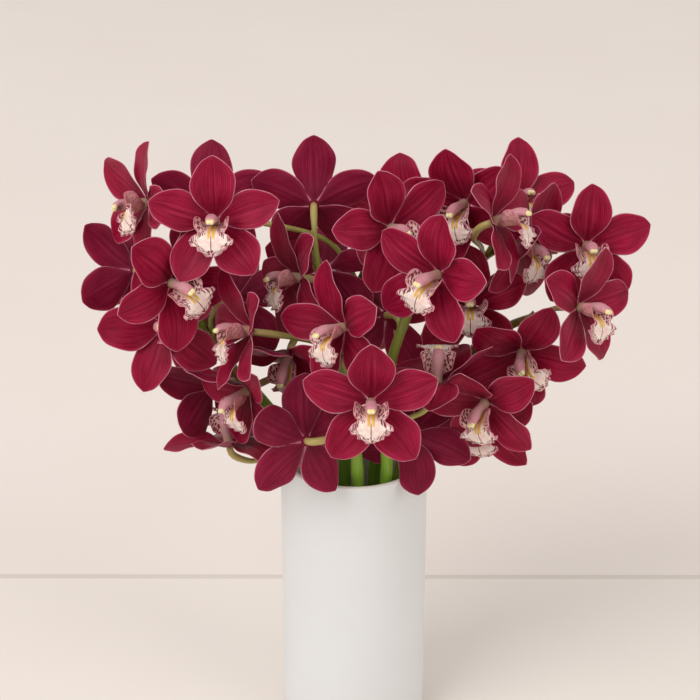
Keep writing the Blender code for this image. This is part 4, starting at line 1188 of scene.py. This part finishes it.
def lip_tissue(name, cream, blush, marks):
    """cream is the front lobe's colour, blush the side lobes', and marks how strong the marks are."""
    finish, tree = fresh(name, {
        **WET_TISSUE, "Roughness": 0.45,
        "Subsurface Weight": 0.25, "Subsurface Radius": (0.003, 0.0015, 0.001)})
    at = read_maps(tree)
    mottle = add(tree, "TexNoise", {"Vector": at.real, "Scale": 9.0, "Detail": 3.0})[0]
    mottled = add(tree, "MapRange", {0: mottle, 1: 0.4, 2: 0.7, 4: 0.55})[0]
    own_side = add(tree, "Math", {0: at.own, 1: 7.0, 2: at.side}, operation="MULTIPLY_ADD")[0]
    own_place = add(tree, "CombineXYZ", {0: own_side, 1: at.run})[0]
    cells = {"Vector": own_place, "Scale": REAL_UNIT / FRECKLE}
    to_cell = add(tree, "TexVoronoi", cells, voronoi_dimensions="2D")["Distance"]
    spot = add(tree, "MapRange", {0: to_cell, 1: 0.46, 2: 0.32})[0]
    row = band(tree, at.margin, FRECKLES_FROM, FRECKLES_TO, 0.4)
    in_front = band(tree, at.along, 0.5, 1.0, 0.05)
    at_side = band(tree, at.off_middle, SIDE_FRECKLES_FROM, None, 1.0)
    behind = band(tree, at.along, 0.16, 0.55, 0.03)
    front_rows = add(tree, "Math", {0: row, 1: in_front}, operation="MULTIPLY")[0]
    side_rows = add(tree, "Math", {0: at_side, 1: behind}, operation="MULTIPLY")[0]
    rows = add(tree, "Math", {0: front_rows, 1: side_rows}, operation="MAXIMUM")[0]
    stripe = band(tree, at.off_middle, None, STRIPE_HALF, 0.15)
    keel = band(tree, at.off_middle, KEEL_FROM, KEEL_TO, 0.3)
    colour = painted(tree, cream, blush, mottled)
    colour = painted(tree, colour, blush, band(tree, at.along, None, 0.52, 0.06), 0.6)
    colour = painted(tree, colour, "#8A4A44", band(tree, at.along, None, 0.16, 0.08, 0.85))
    colour = painted(tree, colour, "#D88E9C", band(tree, at.margin, None, 2.6, 1.4, 0.6))
    colour = painted(tree, colour, "#7C0830", rows, spot, marks)
    colour = painted(tree, colour, "#74142E", stripe, band(tree, at.along, 0.6, 0.93, 0.03), marks)
    colour = painted(tree, colour, "#E6B23E", keel, band(tree, at.along, 0.2, 0.66, 0.03), marks)
    colour = painted(tree, colour, "#D0808E", band(tree, at.margin, None, 0.6, 0.25, 0.75))
    grain = add(tree, "TexNoise", {"Vector": at.real, "Scale": 120.0, "Detail": 2.0})[0]
    return finished(finish, colour, grain, 0.3, 0.0002)


lip_front = lip_tissue("lip_skin_front", "#F6E4DA", "#E2ABA8", 1.0)
lip_back = lip_tissue("lip_skin_back", "#E6C0B8", "#CE8A8E", 0.35)
print("lip finishes: 2")

# %% [markdown]
# The column is blush pink with a rosier hood and a yellowish foot, and the hollow under its hood is painted
# dark, as shade. The anther cap is cream wax.

# %% Column and anther cap tissue
def column_tissue():
    """Blush tissue; across is how far round, and the underside is round three quarters of it."""
    finish, tree = fresh("column_skin", {
        **WET_TISSUE, "Roughness": 0.4,
        "Subsurface Weight": 0.2, "Subsurface Radius": (0.004, 0.0015, 0.001)})
    at = read_maps(tree)
    to_cell = add(tree, "TexVoronoi", {"Vector": at.real, "Scale": 34.0})["Distance"]
    spot = add(tree, "MapRange", {0: to_cell, 1: 0.3, 2: 0.15, 4: 0.5})[0]
    soft = add(tree, "TexNoise", {"Vector": at.real, "Scale": 12.0, "Detail": 3.0})[0]
    cloud = add(tree, "MapRange", {0: soft, 1: 0.4, 2: 0.7, 4: 0.35})[0]
    under_hood_shade = band(tree, at.along, 0.78, None, 0.04)
    colour = painted(tree, "#CC989C", "#B7A277", band(tree, at.along, None, 0.28, 0.14, 0.8))
    colour = painted(tree, colour, "#BE6C82", band(tree, at.along, 0.78, None, 0.1, 0.6))
    # painted shade: near-black in the hollow under the hood
    colour = painted(tree, colour, "#4E101E", under_hood_shade, band(tree, at.across, 0.57, 0.93, 0.03))
    colour = painted(tree, colour, "#7A1832", spot, band(tree, at.across, 0.55, 0.95, 0.05))
    colour = painted(tree, colour, "#D8A6AC", cloud)
    return finished(finish, colour, soft, 0.25, 0.0003)


def cap_wax():
    """Cream wax, a little yellower in patches."""
    finish, tree = fresh("anther_cap_wax", {
        "Roughness": 0.35, "Subsurface Scale": 1.0,
        "Subsurface Weight": 0.2, "Subsurface Radius": (0.002, 0.0015, 0.001)})
    soft = add(tree, "TexNoise", {"Vector": read_maps(tree).real, "Scale": 16.0, "Detail": 2.0})[0]
    cloud = add(tree, "MapRange", {0: soft, 1: 0.35, 2: 0.7, 4: 0.6})[0]
    return finished(finish, painted(tree, "#F3E7B4", "#E2C878", cloud))


lip_finishes = [lip_front, lip_back, lip_back, column_tissue(), cap_wax()]
print("finishes on a lip and column:", len(lip_finishes))

# %% [markdown]
# All the blooms. Each is made in its own frame and then turned and moved to its place. The tepals
# and heart are one piece and the lip and column another, as in the measured solids. Where a bloom is
# mostly hidden, both pieces stand for one solid.

# %% The blooms
def sectors(bloom_shapes):
    """How far round the heart each tepal's root may reach, to either side of its own direction."""
    around = [shape["direction"] for shape in bloom_shapes]
    ahead = [(around[(k + 1) % 5] - around[k]) % (2 * math.pi) for k in range(5)]
    return [(-ahead[k - 1] / 2 * 0.96, ahead[k] / 2 * 0.96) for k in range(5)]


def carried(skins, k):
    """Skins moved from bloom k's own frame to its place in the bunch."""
    for skin in skins:
        skin["points"] = centres[k] + skin["points"] @ axes[k].T
    return skins


for k, row in enumerate(BLOOMS):
    rng = np.random.default_rng(SEED * 100 + k)
    name, one_body = row[0], row[8]
    skins = [tepal_skin(*made, rng) for made in zip(shapes[k], swings[k], sectors(shapes[k]))]
    skins.append(heart_skin(rng))
    node = name + ("_bloom" if one_body else "_tepals")
    piece("tepals_" + name, carried(skins, k), tepal_finishes, "tepal", [node])
    skins = [lip_skin(rng), column_skin(rng), cap_skin(rng, -CAP_APART), cap_skin(rng, CAP_APART)]
    node = name + ("_bloom" if one_body else "_lip")
    piece("lip_" + name, carried(skins, k), lip_finishes, "lip", [node])
print("blades made:", 6 * len(BLOOMS))

# %% [markdown]
# A cut stem is firm and green, with faint ribs, and it turns olive and brown towards its top. Where
# a stalk leaves it there is a small dry scale, the bract. The stalk thickens into the ribbed ovary
# behind the bloom. The skin is waxy, so it shines a little. Its streaks run lengthways, because the
# cells are long, and they are drawn 24 times as long as wide.

# %% Stem and stalk skins
def stem_tissue(name, low, high, old, turning):
    """Plant skin that goes from low to high between two places along the piece, and old in spots."""
    finish, tree = fresh(name, {
        **WET_TISSUE, "IOR": 1.45, "Roughness": 0.38,
        "Subsurface Weight": 0.1, "Subsurface Radius": (0.001, 0.002, 0.0005)})
    at = read_maps(tree)
    here = add(tree, "CombineXYZ", {0: at.side, 1: at.run, 2: at.own})[0]
    drawn_out = add(tree, "VectorMath", {0: here, 1: (60.0, 2.5, 1.0)}, operation="MULTIPLY")[0]
    streak = add(tree, "TexNoise", {"Vector": drawn_out, "Scale": 1.0, "Detail": 3.0})[0]
    patch = add(tree, "TexNoise", {"Vector": at.real, "Scale": 2.0, "Detail": 4.0})[0]
    turned = add(tree, "MapRange", {0: at.along, 1: turning[0], 2: turning[1]})[0]
    streaked = add(tree, "MapRange", {0: streak, 1: 0.42, 2: 0.7, 4: 0.45})[0]
    worn = add(tree, "MapRange", {0: patch, 1: 0.55, 2: 0.75, 4: 0.5})[0]
    colour = painted(tree, low, high, turned)
    colour = painted(tree, colour, high, streaked)
    colour = painted(tree, colour, old, worn)
    return finished(finish, colour, streak, 0.3, 0.0003)


stem_finishes = [
    stem_tissue("stem_skin", "#77A92E", "#7C6B2A", "#5E6A22", (0.5, 0.95)),
    stem_tissue("stalk_skin", "#8E9A3C", "#B4A062", "#8C6A3A", (0.2, 0.9)),
    stem_tissue("bract_scale", "#A08A4E", "#8A6A3C", "#6E5230", (0.0, 1.0))]
print("stem finishes:", len(stem_finishes))

# %% [markdown]
# Each stem stays one piece with its stalks, because they grew together. The lines are the same as
# the measured ones, drawn with more and rounder steps. A bract is a small blade that hugs the
# stalk's foot and stands off a little towards its point.

# %% Stems, stalks and bracts
STEM_RINGS, STEM_SIDES, STEM_RIB = 70, 20, 0.02
STALK_RINGS, STALK_SIDES, STALK_RIB = 20, 14, 0.045
RIBS = 6
JOINTS_AT = np.arange(0.18, 0.95, 0.13)
JOINT_UNEVEN, JOINT_HIGH, JOINT_LONG = 0.02, 0.45, 0.012
BRACT_LONG, BRACT_OUT, BRACT_FLARE, BRACT_HALF_THICK = 9.0, 3.1, 1.6, 0.3
BRACT_ROWS = 9


def ribbed(depth):
    """A round outline with low ribs."""
    return lambda angle, place: 1 + depth * np.cos(RIBS * angle)


def stem_skin(name, rng):
    """A stem with faint ribs and a slightly thicker ring at each joint."""
    line = smooth_path(paths[name], STEM_RINGS)
    where = np.linspace(0.0, 1.0, STEM_RINGS)
    ring_radii = np.interp(where, np.linspace(0.0, 1.0, len(radii[name])), radii[name])
    for joint in JOINTS_AT + rng.uniform(-JOINT_UNEVEN, JOINT_UNEVEN):
        ring_radii = ring_radii + JOINT_HIGH * np.exp(-((where - joint) / JOINT_LONG) ** 2)
    return tube(rings_along(line, ring_radii, STEM_SIDES, ribbed(STEM_RIB)), rng.uniform(), 0)


def stalk_skin(k, row, rng):
    """A stalk, with the ovary behind the bloom."""
    line = smooth_path(stalk_path(paths[row[1]], centres[k], axes[k][:, 2], bows[k]), STALK_RINGS)
    place = np.linspace(0.0, 1.0, STALK_RINGS)
    ring_radii = eased([0.0, 0.3, 0.6, 0.85, 1.0], [2.3, 2.0, 2.2, 3.0, 2.7], place)
    return tube(rings_along(line, ring_radii, STALK_SIDES, ribbed(STALK_RIB)), rng.uniform(), 1), line


def bract_skin(line, rng):
    """A small pointed scale that hugs the foot of a stalk."""
    x = np.linspace(0.0, 1.0, BRACT_ROWS)
    y = np.linspace(-1.0, 1.0, BRACT_ROWS)
    x, y = np.meshgrid(x, y, indexing="ij")
    heading = unit(line[4] - line[0])
    side = unit(np.cross(heading, [0.2, 0.9, 0.3]))
    other = np.cross(heading, side)
    angle = y * 1.5 * (1 - x) ** 0.6 * (1 + x)
    normal = np.cos(angle)[..., None] * side + np.sin(angle)[..., None] * other
    out = (BRACT_OUT + BRACT_FLARE * x ** 2)[..., None] * normal
    points = line[1] + (x * BRACT_LONG)[..., None] * heading + out
    half = normal * BRACT_HALF_THICK
    return blade(points - half, points + half, x, y, *true_distances(points), rng.uniform(), (2, 2, 2))


for number, name in enumerate(STEMS):
    rng = np.random.default_rng(SEED * 7 + number)
    skins = [stem_skin(name, rng)]
    for k, row in enumerate(BLOOMS):
        if row[1] == name:
            stalk, line = stalk_skin(k, row, rng)
            skins.extend([stalk, bract_skin(line, rng)])
    piece("green_" + name, skins, stem_finishes, "stem", ["stem_" + name])
print("stems made:", len(STEMS))

# %% [markdown]
# The vase is slip-cast stoneware with a matt white glaze. Casting leaves a very even wall. The glaze
# is satin, not glossy: it is slightly uneven to the touch, draws thin over the rim and shows the
# warmer body there. Glass, which a glaze is, bends light by 1.5. The vase is a turned form, so its
# profile is all that it takes.

# %% Vase
VASE_WALL, FOOT_ROUND, INNER_ROUND = 4.0, 14.0, 9.0
VASE_SIDES = 144
RIM_THIN, RIM_SOFT = 1.2, 0.6


def arc(centre_x, centre_z, radius, first, last, count):
    """Points on part of a circle, for a profile."""
    angles = np.radians(np.linspace(first, last, count))
    return [(centre_x + radius * math.cos(a), centre_z + radius * math.sin(a)) for a in angles]


def matt_glaze():
    """White glaze with slow drifts of tone and shine, and a few specks of the body's iron."""
    finish, tree = fresh("matt_white_glaze", {"IOR": 1.5})
    solid = add(tree, "TexCoord")["Object"]
    up = add(tree, "SeparateXYZ", {0: solid})[2]
    drift = add(tree, "TexNoise", {"Vector": solid, "Scale": 14.0, "Detail": 3.0})[0]
    fine = add(tree, "TexNoise", {"Vector": solid, "Scale": 1400.0, "Detail": 2.0})[0]
    cloud = add(tree, "MapRange", {0: drift, 1: 0.35, 2: 0.7, 4: 0.5})[0]
    speck = add(tree, "TexVoronoi", {"Vector": solid, "Scale": 300.0})["Distance"]
    dots = add(tree, "MapRange", {0: speck, 1: 0.09, 2: 0.05, 4: 0.25})[0]
    colour = painted(tree, "#DEE0E1", "#D8D9D8", cloud)
    rim = band(tree, up, (VASE_HEIGHT - RIM_THIN) * MM, None, RIM_SOFT * MM, 0.6)
    colour = painted(tree, colour, "#D9CFC0", rim)
    colour = painted(tree, colour, "#BFB4A2", dots)
    relief = add(tree, "Math", {0: drift, 1: 3.0, 2: fine}, operation="MULTIPLY_ADD")[0]
    shine = add(tree, "MapRange", {0: drift, 1: 0.3, 2: 0.7, 3: 0.42, 4: 0.55})[0]
    tree.links.new(shine, tree.nodes["Principled BSDF"].inputs["Roughness"])
    return finished(finish, colour, relief, 0.25, 0.0003)


inner = VASE_RADIUS - VASE_WALL
heights = (60.0, 120.0, 180.0, 230.0)
profile = [(0.01, 0.0)] + arc(VASE_RADIUS - FOOT_ROUND, FOOT_ROUND, FOOT_ROUND, -90, 0, 14)
profile += [(VASE_RADIUS, z) for z in heights]
profile += arc(VASE_RADIUS - VASE_WALL / 2, VASE_HEIGHT - VASE_WALL / 2, VASE_WALL / 2, 0, 180, 13)
profile += [(inner, z) for z in reversed(heights)]
profile += arc(inner - INNER_ROUND, VASE_FLOOR + INNER_ROUND, INNER_ROUND, 0, -90, 10)
profile += [(0.01, VASE_FLOOR)]
vase_skin = tube(upright_rings(profile, VASE_SIDES), 0.5)
vase = piece("glazed_vase", [vase_skin], [matt_glaze()], "vase", ["vase"])
print("vase height in mm:", round(vase.dimensions.z / MM))

# %% [markdown]
# The water keeps its measured solid: its shape is right, and it is only seen from above, between
# the stems. It needs water's own finish, which is clear, very smooth, and bends light by 1.33.

# %% Water
def clear_water():
    """Clear water with the faintest swell."""
    finish, tree = fresh("clear_water", {
        "Base Color": linear("#E8F2EC"), "Roughness": 0.02, "IOR": 1.333, "Transmission Weight": 1.0})
    solid = add(tree, "TexCoord")["Object"]
    swell = add(tree, "TexNoise", {"Vector": solid, "Scale": 30.0, "Detail": 1.0})[0]
    return finished(finish, relief=swell, strength=0.1, deep=0.0005)


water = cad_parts["water"]
water_finish = clear_water()
for holder in water.material_slots:
    holder.material = water_finish
print("water slots:", len(water.material_slots))

# %% [markdown]
# The table is a plain painted board, and a second board lies behind it, with a joint between them that makes
# the soft line across the picture. A third board just below closes the joint, and its darker paint is
# painted shade, as in the corner where a table meets a wall. All lie flat, so they hide nothing from any
# side.

# %% Floor
JOINT_AT, JOINT_WIDE, JOINT_REACH, JOINT_DEEP = 0.199, 0.007, 0.01, 0.0001
FLOOR_REACH = 9.0


def painted_board(name, hex_colour, other):
    """Matt emulsion paint, rolled on, so its tone drifts slowly and its surface has a fine grain."""
    finish, tree = fresh(name, {"Roughness": 0.6})
    solid = add(tree, "TexCoord")["Object"]
    drift = add(tree, "TexNoise", {"Vector": solid, "Scale": 3.0, "Detail": 4.0})[0]
    cloud = add(tree, "MapRange", {0: drift, 1: 0.35, 2: 0.7, 4: 0.6})[0]
    fine = add(tree, "TexNoise", {"Vector": solid, "Scale": 500.0, "Detail": 2.0})[0]
    return finished(finish, painted(tree, hex_colour, other, cloud), fine, 0.15, 0.0003)


def board(name, low_y, high_y, z, finish):
    """A flat board across the whole floor."""
    mesh = bpy.data.meshes.new(name)
    corners = [(x, y, z) for x, y in (
        (-FLOOR_REACH, low_y), (FLOOR_REACH, low_y), (FLOOR_REACH, high_y), (-FLOOR_REACH, high_y))]
    mesh.from_pydata(corners, [], [(0, 1, 2, 3)])
    mesh.materials.append(finish)
    made = bpy.data.objects.new(name, mesh)
    bpy.context.scene.collection.objects.link(made)


board("table", -FLOOR_REACH, JOINT_AT, 0.0, painted_board("table_paint", "#ECE4DD", "#E8DFD8"))
back_paint = painted_board("wall_paint", "#ECE3DD", "#E8DED7")
board("back_board", JOINT_AT + JOINT_WIDE, FLOOR_REACH, 0.0, back_paint)
# painted shade: a darker strip under the joint, as in the corner where a table meets a wall
joint_shade_paint = painted_board("painted_joint_shade", "#DCD3CA", "#D8CEC5")
board("joint_shadow", JOINT_AT - JOINT_REACH, JOINT_AT + JOINT_REACH, -JOINT_DEEP, joint_shade_paint)
print("joint at mm:", round(JOINT_AT / MM))

# %% [markdown]
# Light. The shading is that of soft daylight, as from a large window high on the left and in front,
# with pale surroundings that fill the shadows. A large square lamp stands for the window, a weaker
# one fills from the right, and a warm white sky does the rest.

# %% Light
LAMPS_AIM = Vector((0.0, 0.0, 0.25))
SKY_STRENGTH = 0.68


def lamp(name, place, size, power, hex_colour):
    """A square lamp that faces the vase."""
    data = bpy.data.lights.new(name, "AREA")
    data.shape = "SQUARE"
    data.size = size
    data.energy = power
    data.color = linear(hex_colour)[:3]
    made = bpy.data.objects.new(name, data)
    bpy.context.scene.collection.objects.link(made)
    away = LAMPS_AIM - Vector(place)
    made.matrix_world = Matrix.Translation(place) @ away.to_track_quat("-Z", "Y").to_matrix().to_4x4()


lamp("window", (-3.6, -3.4, 5.4), 4.2, 255.0, "#FFFDFC")
lamp("fill", (4.0, -3.0, 3.6), 3.0, 60.0, "#FFFAF6")
sky = bpy.data.worlds.new("room")
sky.use_nodes = True
sky_light = sky.node_tree.nodes["Background"].inputs
sky_light["Color"].default_value = linear("#FFFBF7")
sky_light["Strength"].default_value = SKY_STRENGTH
bpy.context.scene.world = sky
print("lamps: 2")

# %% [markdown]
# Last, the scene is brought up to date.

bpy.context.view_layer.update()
